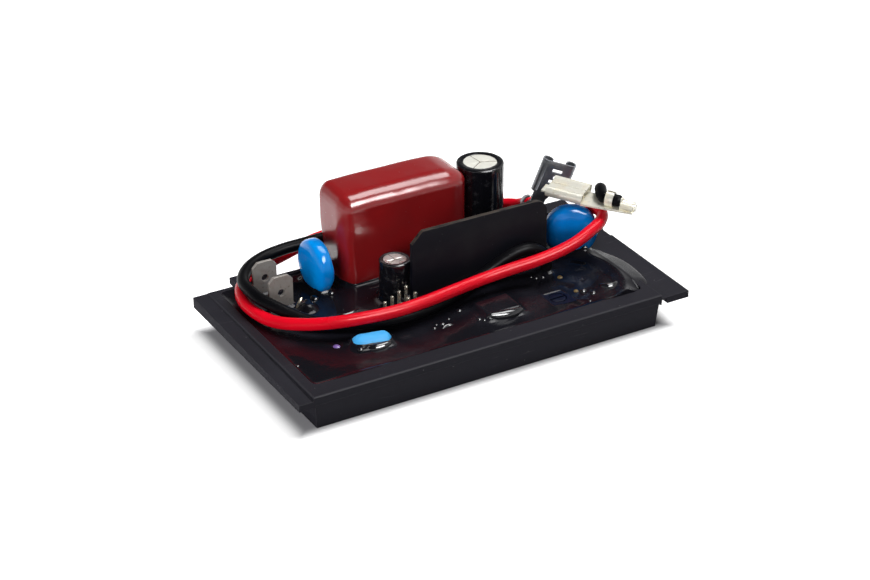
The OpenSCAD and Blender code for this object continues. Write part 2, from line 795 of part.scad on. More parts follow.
// Resin that has crept up round an upright cylinder
module creep_ring(x, y, r, h) {
    translate([x, y, resin_z]) rotate_extrude() difference() {
        translate([0, -over]) square([r + h, h + over]);
        translate([r + h, h]) circle(h);
    }
}

// Resin that has crept up along an upright face from x0 to x1, in front of y
module creep_strip(x0, x1, y, h) {
    along_x(x0, x1) difference() {
        translate([y - h, resin_z - over]) square([h + over, h + over]);
        translate([y - h, resin_z + h]) circle(h);
    }
}

// Resin run over the right rim, round edged and bevelled, down to the flange
module overflow() {
    run_r = 27;
    run_x = right_in - 22.2;
    run_y = -11;
    run_h = 0.6;
    bevel = 1.6;
    below = 1;
    difference() {
        intersection() {
            translate([run_x, run_y, rim_h - below]) {
                cylinder(h = below, r = run_r);
                translate([0, 0, below]) cylinder(h = run_h, r1 = run_r, r2 = run_r - bevel);
            }
            translate([right_in - over, front_in - over, 0]) cube([run_r, run_r + 2 * over, 2 * rim_h]);
        }
        tray_outside();
    }
}

// Casting resin: the tray's inside up to its level, crept up round what stands in it
module potting() color([0.04, 0.04, 0.05]) {
    difference() {
        union() {
            translate([0, 0, floor_t]) linear_extrude(resin_z - floor_t) tray_outline(pot_gap);
            intersection() {
                union() {
                    creep_ring(tall_x, tall_y, tall_r, 1);
                    creep_ring(small_x, small_y, small_r, 1.2);
                    creep_strip(-film_l / 2, film_l / 2, film_y - film_w / 2, 1.2);
                    creep_strip(plate_x, plate_x + plate_l, plate_y, 1);
                    dome(header_x + 4, header_y + 0.6, 4.4, 0.9);
                    dome(bridge_x, bridge_y, 7, 0.9);
                    dome(trimmer_x, trimmer_y, 6, 0.7);
                    dome(blue_x, blue_y, 6, 0.5);
                    dome(tab_x + 5.5, tab_y - 3, 3.2, 1.4);
                    dome(red_route[0].x - 1.4, red_route[0].y, 3, 0.6);
                }
                translate([0, 0, floor_t]) linear_extrude(rim_h + rim_h) tray_outline(pot_gap);
            }
            overflow();
        }
        translate([0, 0, board_z - pot_gap]) linear_extrude(board_t + 2 * pot_gap)
            tray_outline(board_margin - pot_gap);
        bosses(pot_gap);
        film_pocket(pot_gap);
        translate([tall_x, tall_y, board_top]) cylinder(h = tall_h, r = tall_r + pot_gap);
        translate([small_x, small_y, board_top]) cylinder(h = small_h, r = small_r + pot_gap);
        left_disc(pot_gap);
        right_disc(pot_gap);
        blue_form(pot_gap);
        bead_form(pot_gap);
        sink_form(pot_gap);
        transistor_form(pot_gap);
        tab_form(tab_y, pot_gap);
        tab_form(tab_y + tab_pitch, pot_gap);
        header_bar(pot_gap);
        pin_hole = pin_w / 2 + pot_gap;
        for (row = [0, 1])
            along_row(row == 0 ? header_pins_back : header_pins_front, row)
                block(-pin_hole, pin_hole, -pin_hole, pin_hole, header_base_h, pin_h);
        bridge_form(pot_gap);
        trimmer_body(pot_gap);
        chip_form(pot_gap);
        diode_forms(pot_gap);
        resistor_forms(pot_gap);
        for (start = [red_route[0], black_route[0]])
            translate(start) cylinder(h = rim_h, r = lead_d / 2 + pot_gap);
    }
}

// Unit vector
function unit(v) = v / norm(v);
// Direction of a route at point i, halfway between the runs that meet there
function route_dir(p, i) = unit(
    (i > 0 ? unit(p[i] - p[i - 1]) : [0, 0, 0]) + (i < len(p) - 1 ? unit(p[i + 1] - p[i]) : [0, 0, 0]));
// Side direction at point i, carried along the route so that the tube doesn't twist
function side_dir(d, last) = unit(last - (last * d) * d);
function side_dirs(p, i, last) = i >= len(p) ? [] :
    let (s = side_dir(route_dir(p, i), last)) concat([s], side_dirs(p, i + 1, s));

// Round lead swept along its route
module lead(route, first_side) {
    n = len(route);
    sides = side_dirs(route, 0, first_side);
    ring_points = [for (i = [0 : n - 1], k = [0 : lead_sides - 1])
        let (d = route_dir(route, i), s = sides[i], t = cross(d, s), a = 360 * k / lead_sides)
        route[i] + lead_d / 2 * (cos(a) * s + sin(a) * t)];
    walls = [for (i = [0 : n - 2], k = [0 : lead_sides - 1])
        let (k2 = (k + 1) % lead_sides, a = i * lead_sides)
        [a + k, a + lead_sides + k, a + lead_sides + k2, a + k2]];
    first_end = [[for (k = [0 : lead_sides - 1]) k]];
    last_end = [[for (k = [lead_sides - 1 : -1 : 0]) (n - 1) * lead_sides + k]];
    polyhedron(ring_points, concat(first_end, walls, last_end));
}

module red_lead() color([0.92, 0.08, 0.18]) lead(red_route, [1, 0, 0]);
module black_lead() color([0.05, 0.05, 0.06]) lead(black_route, [1, 0, 0]);

// Angle round Z and lift of a direction, for pieces drawn along Y
function heading(v) = atan2(-v.x, v.y);
function lift(v) = asin(v.z / norm(v));

// Places its children at the end of a route, with +Y along the lead or back over it
module at_lead_end(route, sense, roll) {
    end = route[len(route) - 1];
    dir = sense * (end - route[len(route) - 2]);
    translate(end) rotate([0, 0, heading(dir)]) rotate([lift(dir), 0, 0]) rotate([0, roll, 0])
        translate([0, 0, -rec_lead_z]) children();
}

// Curled side of the receptacle: a ring of sheet that is open towards the tab
module curl() {
    difference() {
        circle(curl_r);
        circle(curl_r - rec_t);
        translate([-curl_r - 1, -curl_r - 1]) square(curl_r + 1);
    }
}

// Box of the receptacle from y = 0 to its mouth: flat back with two windows, a latch
// dimple and two cross ribs, both sides curled over the tab's way in, and a lip before it
module rec_box(lip = 0) {
    flat = rec_w / 2 - curl_r;
    difference() {
        union() {
            along_y(0, rec_l) {
                translate([-flat, 0]) square([2 * flat, rec_t]);
                translate([flat, curl_r]) curl();
                translate([-flat, curl_r]) mirror([1, 0]) curl();
            }
            for (y = rib_places * rec_l)
                along_x(-flat, flat) translate([y, rec_t]) circle(rib_h);
            block(-flat * 0.6, flat * 0.6, rec_l - over, rec_l + lip, 0, rec_t);
        }
        for (y = window_places * rec_l)
            block(-window_w / 2, window_w / 2, y - slot_h / 2, y + slot_h / 2, -over, rec_t + over);
        translate([0, dimple_place * rec_l, -over]) cylinder(h = 2, d = dimple_d);
    }
}

// Flat sheet between two widths
module strip(y0, w0, y1, w1) {
    linear_extrude(rec_t) polygon([[-w0 / 2, y0], [w0 / 2, y0], [w1 / 2, y1], [-w1 / 2, y1]]);
}

// Crimp round the lead's cover, a ring with a split on top
module cover_crimp(y) {
    r = lead_d / 2 + crimp_gap;
    difference() {
        union() {
            translate([0, 0, rec_lead_z]) along_y(y, y + ring_l) circle(r + rec_t);
        }
        translate([0, 0, rec_lead_z]) along_y(y - over, y + ring_l + over) circle(r);
        block(-0.3, 0.3, y - over, y + ring_l + over, rec_lead_z, 3 * rec_lead_z);
    }
}

// Crimp closed down on the bare strands: two rolled lobes and the strands' end
module core_crimp(y) {
    along_y(y, y + core_l) {
        for (s = [-1, 1]) translate([s * core_r * 0.62, core_r]) circle(core_r);
        translate([-core_r, 0]) square([2 * core_r, core_r]);
    }
    translate([0, 0, core_r]) along_y(y - 0.6, y + core_l) circle(core_r * 0.8);
}

// Strands that run from the lead's end up into the crimp beside it
module strands(y0, y1) {
    translate([0, 0, rec_lead_z]) along_y(y0, y1) circle(core_r * 0.9);
    block(-core_r * 0.6, core_r * 0.6, y0, y1, rec_t / 2, rec_lead_z);
}

// Neck up to a box that stands to one side: one edge straight, the other flared
module side_neck() {
    w = strip_w / 2;
    flare = neck_rise - 2 * neck_side_w;
    linear_extrude(rec_t) polygon([[-w, 0], [w, 0], [w, neck_rise + over],
        [-w - neck_side_w, neck_rise + over], [-w - neck_side_w, neck_rise], [-w, flare]]);
}

// Receptacle of the red lead: crimp in line with the lead, and the box bent up from it
module red_lead_receptacle() color([0.86, 0.82, 0.7]) at_lead_end(red_route, 1, red_roll) {
    cover_crimp(-ring_l - 0.4);
    strip(-ring_l - 0.4, strip_w * 0.6, core_l + neck_l, strip_w);
    core_crimp(0.8);
    strands(0, 0.9);
    translate([0, core_l + neck_l, rec_t / 2]) {
        rotate([0, 90, 0]) cylinder(h = strip_w, d = rec_t, center = true);
        rotate([neck_bend, 0, 0]) translate([0, 0, -rec_t / 2]) {
            side_neck();
            translate([-neck_side, neck_rise, 0]) rec_box();
        }
    }
}

// Receptacle of the black lead: the lead lies along it over the near end of the box
module black_lead_receptacle() color([0.88, 0.84, 0.72]) at_lead_end(black_route, -1, 0) {
    box_start = 9;
    cover_crimp(1.8);
    strip(-core_l - 0.4, strip_w, box_start + 0.2, rec_w - 1.2);
    core_crimp(-core_l - 0.2);
    strands(-0.5, 0);
    translate([0, box_start, 0]) rec_box(lip_l);
}

tray();
potting();
circuit_board();
film_capacitor();
tall_capacitor_can();
tall_capacitor_sleeve();
tall_capacitor_bung();
small_capacitor_can();
small_capacitor_sleeve();
small_capacitor_bung();
varistor_left();
varistor_right();
blue_capacitor();
bead_capacitor();
heat_sink();
power_transistor();
rear_blade();
front_blade();
header_base();
header_pins();
bridge_rectifier();
trimmer();
control_chip();
rectifier_diodes();
resistors();
red_lead();
black_lead();
red_lead_receptacle();
black_lead_receptacle();
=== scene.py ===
import logging
from dataclasses import dataclass
from enum import Enum
from typing import Any, Sequence

import bmesh
import bpy
import numpy as np
from mathutils import Matrix


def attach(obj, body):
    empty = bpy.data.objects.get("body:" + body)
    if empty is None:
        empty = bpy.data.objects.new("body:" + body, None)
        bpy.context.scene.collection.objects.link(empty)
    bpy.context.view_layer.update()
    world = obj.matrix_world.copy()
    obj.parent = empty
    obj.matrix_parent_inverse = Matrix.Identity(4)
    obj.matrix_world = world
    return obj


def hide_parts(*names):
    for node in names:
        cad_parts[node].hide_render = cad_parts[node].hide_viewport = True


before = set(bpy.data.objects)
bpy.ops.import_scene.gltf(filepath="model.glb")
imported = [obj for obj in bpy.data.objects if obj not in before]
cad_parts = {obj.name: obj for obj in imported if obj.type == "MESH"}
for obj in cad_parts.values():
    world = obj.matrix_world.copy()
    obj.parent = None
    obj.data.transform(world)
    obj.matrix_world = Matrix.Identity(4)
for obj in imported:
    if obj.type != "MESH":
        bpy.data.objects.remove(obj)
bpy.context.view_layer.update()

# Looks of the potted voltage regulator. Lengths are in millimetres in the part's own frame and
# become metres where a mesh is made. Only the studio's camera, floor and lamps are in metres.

MM = 0.001  # a millimetre in metres
WELD = 2e-6  # points nearer to each other than this, in metres, become one
BOARD_TOP = 4.8  # height at which legs and sleeves end, in the board
RESIN_LEVEL = 9.2
LOG = logging.getLogger("regulator")
Colour = tuple[float, float, float]
Point = tuple[float, float, float]
Flat = tuple[float, float]
Surface = tuple[np.ndarray, np.ndarray]


class Wire:
    """One output of a node, with arithmetic that adds Math nodes to its tree."""

    def __init__(self, tree: "Tree", socket: bpy.types.NodeSocket) -> None:
        """Keeps the tree and the output socket."""
        self.tree = tree
        self.socket = socket

    def _math(self, operation: str, first: Any, second: Any) -> "Wire":
        """Math node of two values, each a number or a Wire."""
        return self.tree.node("ShaderNodeMath", {"operation": operation}, {0: first, 1: second})

    def __add__(self, other: Any) -> "Wire":
        """Sum."""
        return self._math("ADD", self, other)

    def __radd__(self, other: Any) -> "Wire":
        """Sum with a number in front."""
        return self._math("ADD", other, self)

    def __sub__(self, other: Any) -> "Wire":
        """Difference."""
        return self._math("SUBTRACT", self, other)

    def __rsub__(self, other: Any) -> "Wire":
        """Difference from a number in front."""
        return self._math("SUBTRACT", other, self)

    def __mul__(self, other: Any) -> "Wire":
        """Product."""
        return self._math("MULTIPLY", self, other)

    def __rmul__(self, other: Any) -> "Wire":
        """Product with a number in front."""
        return self._math("MULTIPLY", other, self)

    def above(self, start: float, end: float) -> "Wire":
        """Soft step, from 0 at start to 1 at end.

        Args:
            start: Value at which the step begins.
            end: Value at which it is complete.

        Returns:
            The step.
        """
        return self.tree.node(
            "ShaderNodeMapRange",
            {"interpolation_type": "SMOOTHSTEP"},
            {"Value": self, "From Min": start, "From Max": end},
        )

    def most(self, other: Any) -> "Wire":
        """Larger of two values."""
        return self._math("MAXIMUM", self, other)

    def size(self) -> "Wire":
        """The value without its sign."""
        return self.most(self * -1.0)


class Tree:
    """Node tree of one material, read in Object coordinates, or of the sky."""

    def __init__(self, name: str, sky: bool = False) -> None:
        """Makes the material or the sky with an empty tree.

        Args:
            name: Its name.
            sky: Whether it is the sky, whose place is the direction looked in.
        """
        self.material = (bpy.data.worlds if sky else bpy.data.materials).new(name)
        self.material.use_nodes = True
        self.tree = self.material.node_tree
        self.tree.nodes.clear()
        self.place = self.node("ShaderNodeTexCoord", output="Generated" if sky else "Object")

    def node(
        self,
        kind: str,
        settings: dict[str, Any] | None = None,
        inputs: dict[Any, Any] | None = None,
        output: Any = 0,
    ) -> Wire:
        """Adds any node.

        Args:
            kind: Blender's type of the node.
            settings: Attributes to set first.
            inputs: Values or Wires by socket name or number.
            output: Name or number of the output that is returned.

        Returns:
            That output.
        """
        made = self.tree.nodes.new(kind)
        for key, value in (settings or {}).items():
            setattr(made, key, value)
        for key, value in (inputs or {}).items():
            if isinstance(value, Wire):
                self.tree.links.new(value.socket, made.inputs[key])
            else:
                made.inputs[key].default_value = value
        return Wire(self, made.outputs[output] if made.outputs else None)

    def waves(self, vector: Wire, scale: Sequence[float], detail: float = 2.0) -> Wire:
        """Noise over a vector that is scaled first.

        Args:
            vector: Coordinates.
            scale: Waves in one unit of each.
            detail: Octaves.

        Returns:
            A value about 0.5.
        """
        scaled = self.node(
            "ShaderNodeMapping", {"vector_type": "POINT"}, {"Vector": vector, "Scale": scale}
        )
        inputs = {"Vector": scaled, "Scale": 1.0, "Detail": detail}
        return self.node("ShaderNodeTexNoise", {}, inputs)

    def noise(self, per_mm: float, detail: float = 2.0, stretch: Point = (1, 1, 1)) -> Wire:
        """Noise over the piece.

        Args:
            per_mm: Waves in a millimetre.
            detail: Octaves.
            stretch: Factor on each axis, below 1 where the grain runs long.

        Returns:
            A value about 0.5.
        """
        return self.waves(self.place, [per_mm / MM * part for part in stretch], detail)

    def cells(self, per_mm: float) -> Wire:
        """Distance to scattered points, per_mm of them in a millimetre."""
        return self.node("ShaderNodeTexVoronoi", {}, {"Vector": self.place, "Scale": per_mm / MM})

    def axis(self, vector: Wire, name: str) -> Wire:
        """Part of a vector on the axis X, Y or Z."""
        return self.node("ShaderNodeSeparateXYZ", {}, {"Vector": vector}, name)

    def along(self, name: str) -> Wire:
        """Coordinate in millimetres on the axis X, Y or Z."""
        return self.axis(self.place, name) * (1 / MM)

    def facing(self, name: str) -> Wire:
        """Part of the true surface normal on the axis X, Y or Z."""
        return self.axis(self.node("ShaderNodeNewGeometry", output="True Normal"), name)

    def rays(self, *kinds: str) -> list[Wire]:
        """1 where the ray is of a kind, such as Camera, or else 0, for each kind."""
        return [self.node("ShaderNodeLightPath", output=f"Is {kind} Ray") for kind in kinds]

    def blend(self, share: Any, first: Any, second: Any) -> Wire:
        """Mixes two colours.

        Args:
            share: Share of the second colour, 0 to 1.
            first: A colour or a Wire.
            second: A colour or a Wire.

        Returns:
            The mixed colour.
        """
        rgba = [(*c, 1.0) if isinstance(c, tuple) else c for c in (first, second)]
        # A colour Mix node's own sockets: 0 factor, 6 and 7 both colours, output 2.
        inputs = {0: share, 6: rgba[0], 7: rgba[1]}
        return self.node("ShaderNodeMix", {"data_type": "RGBA"}, inputs, 2)

    def bump(self, height: Wire, depth_mm: float, under: Wire | None = None) -> Wire:
        """Turns a height into a normal.

        Args:
            height: Height, from 0 to 1.
            depth_mm: What a height of 1 stands for.
            under: Normal of a coarser bump below this one.

        Returns:
            The normal.
        """
        inputs: dict[str, Any] = {"Height": height, "Distance": depth_mm * MM}
        if under is not None:
            inputs["Normal"] = under
        return self.node("ShaderNodeBump", {}, inputs)

    def dress(self, **sockets: Any) -> bpy.types.Material:
        """Adds the surface shader and the output.

        Args:
            **sockets: The shader's sockets, with _ for the space in a name.

        Returns:
            The finished material.
        """
        inputs = {key.replace("_", " "): value for key, value in sockets.items()}
        for key, value in inputs.items():
            if isinstance(value, tuple) and len(value) == 3:
                inputs[key] = (*value, 1.0)
        surface = self.node("ShaderNodeBsdfPrincipled", {}, inputs)
        self.node("ShaderNodeOutputMaterial", {}, {"Surface": surface})
        return self.material


def toned(colour: Colour, factor: float) -> Colour:
    """Colour times a factor."""
    return tuple(factor * part for part in colour)


@dataclass(frozen=True)
class Finish:
    """A finish: its record slot and the colour that most of it has."""

    slot: str
    colour: Colour

    def make(self) -> bpy.types.Material:
        """Builds the material."""
        raise NotImplementedError


@dataclass(frozen=True)
class MouldedTray(Finish):
    """Filled nylon: fine spark grain, faint flow marks, scuffs, dust, and paler edges: edge wear
    with a painted highlight.
    """

    # Colour of the scuffs, laid on the edges too as edge wear with a painted highlight.
    scuff_and_edge_highlight: Colour = (0.085, 0.083, 0.092)
    dust: Colour = (0.3, 0.3, 0.31)
    grain_mm: float = 0.012
    wave_mm: float = 0.12

    def make(self) -> bpy.types.Material:
        """Mixes flow marks, scuffs, and edges paler with wear and a painted highlight, over a
        spark-eroded grain.

        Returns:
            The material.
        """
        tree = Tree(self.slot)
        flow = tree.noise(0.06, 3, (0.25, 1, 1)).above(0.35, 0.7)
        scratch = tree.noise(1.4, 4, (0.08, 1, 1)).above(0.62, 0.74)
        scratch = scratch * tree.noise(0.09).above(0.45, 0.65)
        dust = tree.cells(0.55).above(0.075, 0.03) * tree.noise(0.2).above(0.5, 0.6)
        straight = tree.facing("X").size().most(tree.facing("Y").size())
        edge = straight.most(tree.facing("Z").size()).above(0.985, 0.93)
        colour = tree.blend(flow * 0.35, self.colour, toned(self.colour, 1.7))
        colour = tree.blend(scratch * 0.5, colour, self.scuff_and_edge_highlight)
        # Edges take the scuff colour: edge wear with a painted highlight.
        colour = tree.blend(edge * 0.28, colour, self.scuff_and_edge_highlight)
        colour = tree.blend(dust * 0.5, colour, self.dust)
        grain = tree.bump(tree.noise(6.0, 3), self.grain_mm)
        return tree.dress(
            Base_Color=colour,
            Roughness=0.58 + flow * 0.1 - scratch * 0.1 - edge * 0.06,
            Normal=tree.bump(tree.noise(0.15, 2, (1, 0.3, 1)), self.wave_mm, grain),
            Specular_IOR_Level=0.06,
        )


@dataclass(frozen=True)
class CastResin(Finish):
    """Cast resin: nearly black, wet gloss, with shallow ripples, haze and fine dust."""

    haze: Colour = (0.02, 0.02, 0.024)
    dust: Colour = (0.34, 0.34, 0.36)
    ripple_mm: float = 0.09
    skin_mm: float = 0.006
    roughness: float = 0.14
    specular: float = 0.16

    def make(self) -> bpy.types.Material:
        """Adds ripples of two sizes, hazy patches and a few grains of dust.

        Returns:
            The material.
        """
        tree = Tree(self.slot)
        patch = tree.noise(0.07, 3).above(0.48, 0.72)
        grains = tree.cells(0.9).above(0.06, 0.03) * tree.noise(0.35).above(0.56, 0.64)
        colour = tree.blend(patch * 0.6, self.colour, self.haze)
        ripples = tree.bump(tree.noise(0.22), self.ripple_mm)
        return tree.dress(
            Base_Color=tree.blend(grains * 0.7, colour, self.dust),
            Roughness=self.roughness + patch * 0.1 + grains * 0.4,
            Normal=tree.bump(tree.noise(1.3), self.skin_mm, ripples),
            Specular_IOR_Level=self.specular,
        )


@dataclass(frozen=True)
class DippedCoat(Finish):
    """Epoxy powder or dip: full gloss with orange peel, pits and thin spots on edges."""

    thin: Colour = (0.2, 0.2, 0.2)
    peel_mm: float = 0.01
    peel_per_mm: float = 1.1
    pit_mm: float = 0.02
    roughness: float = 0.16
    uneven: float = 0.06
    # Height below which the coat darkens, and how much: painted shade where it is set high on a
    # disc.
    darkening_z: float = RESIN_LEVEL
    darkening: float = 0.0
    specular: float = 0.5
    coat: float = 0.1

    def make(self) -> bpy.types.Material:
        """Adds orange peel, pits, and a darker lower part, from 2.6 mm above a set height
        downwards: painted shade on the right disc's lower half, a plain darkening near the resin
        elsewhere.

        Returns:
            The material.
        """
        tree = Tree(self.slot)
        cloud = tree.noise(0.12, 3).above(0.35, 0.7)
        pits = tree.cells(0.8).above(0.1, 0.05) * tree.noise(0.4).above(0.5, 0.62)
        # Darker towards the bottom; painted shade where the height is set high.
        darkened_part = tree.along("Z").above(self.darkening_z + 2.6, self.darkening_z - 1.0)
        colour = tree.blend(cloud * 0.55, self.colour, self.thin)
        colour = tree.blend(pits * 0.5, colour, toned(self.colour, 0.35))
        peel = tree.bump(tree.noise(self.peel_per_mm), self.peel_mm)
        return tree.dress(
            Base_Color=tree.blend(darkened_part * self.darkening, colour, toned(self.colour, 0.12)),
            Roughness=self.roughness + cloud * self.uneven + pits * 0.2,
            Normal=tree.bump(1 - pits, self.pit_mm, peel),
            Specular_IOR_Level=self.specular,
            Coat_Weight=self.coat,
            Coat_Roughness=0.08,
        )


@dataclass(frozen=True)
class DrawnCan(Finish):
    """Drawn aluminium: turned top with fine rings, dull spots and a soft sheen."""

    dull: Colour = (0.5, 0.5, 0.5)
    metallic: float = 1.0
    roughness: float = 0.27
    centres: tuple[Flat, ...] = ((24.7, 20.0), (-8.3, 4.64))
    rings_out: float = 7.0
    radians_per_mm: float = 26.0
    grain_mm: float = 0.006

    def make(self) -> bpy.types.Material:
        """Adds rings, sin(26 r), about each can's axis and cloudy dull spots.

        Returns:
            The material.
        """
        tree = Tree(self.slot)
        height = tree.noise(3.0)
        for x, y in self.centres:
            off = tree.node(
                "ShaderNodeMapping",
                {"vector_type": "POINT"},
                {"Vector": tree.place, "Location": (-x * MM, -y * MM, 0.0), "Scale": (1, 1, 0)},
            )
            far = tree.node("ShaderNodeVectorMath", {"operation": "LENGTH"}, {0: off}, "Value")
            far = far * (1 / MM)
            turn = far * self.radians_per_mm
            wave = tree.node("ShaderNodeMath", {"operation": "SINE"}, {0: turn})
            height = height + wave * far.above(self.rings_out, self.rings_out - 0.5) * 0.5
        cloud = tree.noise(0.5, 3).above(0.4, 0.7)
        return tree.dress(
            Base_Color=tree.blend(cloud * 0.5, self.colour, self.dull),
            Metallic=self.metallic,
            Roughness=self.roughness + cloud * 0.14,
            Normal=tree.bump(height, self.grain_mm),
        )


@dataclass(frozen=True)
class ShrunkFilm(Finish):
    """Shrunk film: black gloss with fine draw lines up the can and rubbed spots."""

    rubbed: Colour = (0.05, 0.05, 0.055)
    line_mm: float = 0.035
    skin_mm: float = 0.008

    def make(self) -> bpy.types.Material:
        """Adds lines up the can and rubbed spots.

        Returns:
            The material.
        """
        tree = Tree(self.slot)
        rub = tree.noise(0.5, 3).above(0.55, 0.75)
        lines = tree.bump(tree.noise(1.1, 2, (1, 1, 0.08)), self.line_mm)
        return tree.dress(
            Base_Color=tree.blend(rub * 0.6, self.colour, self.rubbed),
            Roughness=0.13 + rub * 0.16,
            Normal=tree.bump(tree.noise(2.4), self.skin_mm, lines),
        )


@dataclass(frozen=True)
class BlackPlate(Finish):
    """Black anodised sheet: rolled grain, soft smears, and a brownish top edge that is bare sheared
    metal with painted light on its upward face.
    """

    # Colour of the top edge: bare metal, with painted light where the edge faces up.
    bare: Colour = (0.06, 0.048, 0.04)
    smear: Colour = (0.013, 0.013, 0.016)
    speck: Colour = (0.16, 0.16, 0.16)
    grain_mm: float = 0.012
    sheared_z: Flat = (20.0, 21.0)

    def make(self) -> bpy.types.Material:
        """Adds rolled grain along the sheet, smears, specks, and the top edge: bare metal with
        painted light on its upward face.

        Returns:
            The material.
        """
        tree = Tree(self.slot)
        smears = tree.noise(0.11, 3, (0.6, 1, 1)).above(0.45, 0.72)
        specks = tree.cells(0.6).above(0.05, 0.025)
        # Only the upward face of the top edge: bare metal with painted light.
        top = tree.facing("Z").above(0.45, 0.8) * tree.along("Z").above(*self.sheared_z)
        edge = top * tree.noise(0.8, 2, (0.3, 1, 1)).above(0.3, 0.5)
        colour = tree.blend(smears * 0.6, self.colour, self.smear)
        colour = tree.blend(edge, colour, self.bare)
        return tree.dress(
            Base_Color=tree.blend(specks * 0.6, colour, self.speck),
            Roughness=0.46 + smears * 0.08 - edge * 0.12,
            Normal=tree.bump(tree.noise(2.6, 3, (0.12, 1, 1)), self.grain_mm),
            Specular_IOR_Level=0.1,
        )


@dataclass(frozen=True)
class TinPlate(Finish):
    """Tinned sheet: drawn lines, stains and the warm cast of the brass below."""

    stain: Colour = (0.2, 0.15, 0.09)
    stained: float = 0.5
    roughness: float = 0.3
    metallic: float = 1.0
    line_mm: float = 0.014

    def make(self) -> bpy.types.Material:
        """Adds drawn lines, stains and scratches.

        Returns:
            The material.
        """
        tree = Tree(self.slot)
        cloud = tree.noise(0.35, 4).above(0.42, 0.7)
        dark = tree.noise(1.2, 3).above(0.58, 0.72)
        colour = tree.blend(cloud * self.stained, self.colour, self.stain)
        return tree.dress(
            Base_Color=tree.blend(dark * self.stained * 0.7, colour, toned(self.stain, 0.3)),
            Metallic=self.metallic,
            Roughness=self.roughness + cloud * 0.12 + dark * 0.1,
            Normal=tree.bump(tree.noise(3.2, 3, (1, 1, 0.12)), self.line_mm),
        )


@dataclass(frozen=True)
class MouldedCompound(Finish):
    """Transfer-moulded body: fine matt grain with a few pale filler specks."""

    roughness: float = 0.5
    speck: Colour = (0.05, 0.05, 0.05)
    grain_mm: float = 0.006

    def make(self) -> bpy.types.Material:
        """Adds the matt grain, cloudy gloss and filler specks.

        Returns:
            The material.
        """
        tree = Tree(self.slot)
        cloud = tree.noise(0.4, 3).above(0.4, 0.7)
        specks = tree.cells(2.0).above(0.08, 0.04)
        colour = tree.blend(cloud * 0.4, self.colour, toned(self.colour, 1.8))
        return tree.dress(
            Base_Color=tree.blend(specks * 0.6, colour, self.speck),
            Roughness=self.roughness + cloud * 0.1,
            Normal=tree.bump(tree.noise(8.0), self.grain_mm),
            Specular_IOR_Level=0.15,
        )


@dataclass(frozen=True)
class SiliconeCover(Finish):
    """Soft silicone cover: satin gloss, faint draw lines along it, clinging dust."""

    deep: Colour = (0.1, 0.0, 0.0)
    dust: Colour = (0.6, 0.58, 0.56)
    line_mm: float = 0.008
    skin_mm: float = 0.005
    roughness: float = 0.28
    specular: float = 0.4

    def make(self) -> bpy.types.Material:
        """Adds draw lines from the piece's own UV map, cloudy colour and dust.

        Returns:
            The material.
        """
        tree = Tree(self.slot)
        uv = tree.node("ShaderNodeUVMap", {"uv_map": "lead"}, {}, "UV")
        lines = tree.bump(tree.waves(uv, (14.0, 0.35, 1.0)), self.line_mm)
        cloud = tree.noise(0.1, 3).above(0.35, 0.7)
        dust = tree.cells(0.7).above(0.07, 0.03) * tree.noise(0.3).above(0.52, 0.6)
        colour = tree.blend(cloud * 0.5, self.colour, self.deep)
        return tree.dress(
            Base_Color=tree.blend(dust * 0.25, colour, self.dust),
            Roughness=self.roughness + cloud * 0.07 + dust * 0.2,
            Normal=tree.bump(tree.noise(3.5), self.skin_mm, lines),
            Specular_IOR_Level=self.specular,
        )


@dataclass(frozen=True)
class CoatedGlass(Finish):
    """Board laminate: woven glass under a green satin mask."""

    weave: Colour = (0.05, 0.22, 0.1)
    weave_mm: float = 0.03

    def make(self) -> bpy.types.Material:
        """Crosses two wave patterns into a weave.

        Returns:
            The material.
        """
        tree = Tree(self.slot)
        waves = {"Vector": tree.place, "Scale": 0.5 / MM, "Distortion": 0.6}
        warp, weft = [
            tree.node("ShaderNodeTexWave", {"bands_direction": name}, waves) for name in ("X", "Y")
        ]
        weave = warp * weft
        return tree.dress(
            Base_Color=tree.blend(weave * 0.6, self.colour, self.weave),
            Roughness=0.35,
            Normal=tree.bump(weave, self.weave_mm),
        )


def unit(vectors: np.ndarray) -> np.ndarray:
    """Vectors divided by their lengths, along the last axis."""
    return vectors / np.maximum(np.linalg.norm(vectors, axis=-1, keepdims=True), 1e-12)


def step(values: np.ndarray, start: float, end: float) -> np.ndarray:
    """Soft step: 0 at start, 1 at end, 3t^2 - 2t^3 between."""
    t = np.clip((values - start) / (end - start), 0.0, 1.0)
    return t * t * (3 - 2 * t)


def grid_faces(rows: int, columns: int, closed_columns: bool = False) -> np.ndarray:
    """Quads of a grid whose points run row by row.

    Args:
        rows: Points down the grid.
        columns: Points across it.
        closed_columns: Whether the last column joins the first.

    Returns:
        Corner numbers, four for each quad.
    """
    row, column = np.meshgrid(
        np.arange(rows - 1), np.arange(columns if closed_columns else columns - 1), indexing="ij"
    )
    right = (column + 1) % columns
    corners = [row * columns + column, (row + 1) * columns + column]
    corners += [(row + 1) * columns + right, row * columns + right]
    return np.stack(corners, -1).reshape(-1, 4)


def bump_field(places: np.ndarray, size: float, seed: int) -> np.ndarray:
    """Smooth unevenness: twelve plane sine waves of seeded direction, phase and length.

    Args:
        places: Points, three numbers each.
        size: Typical wave length.
        seed: Seed of the draws.

    Returns:
        Heights of about -1 to 1.
    """
    draw = np.random.default_rng(seed)
    waves = unit(draw.normal(size=(12, 3))) * (2 * np.pi / (size * draw.uniform(0.7, 1.8, (12, 1))))
    phases = draw.uniform(0, 2 * np.pi, 12)
    return np.sin(places @ waves.T + phases).sum(-1) / 4.0


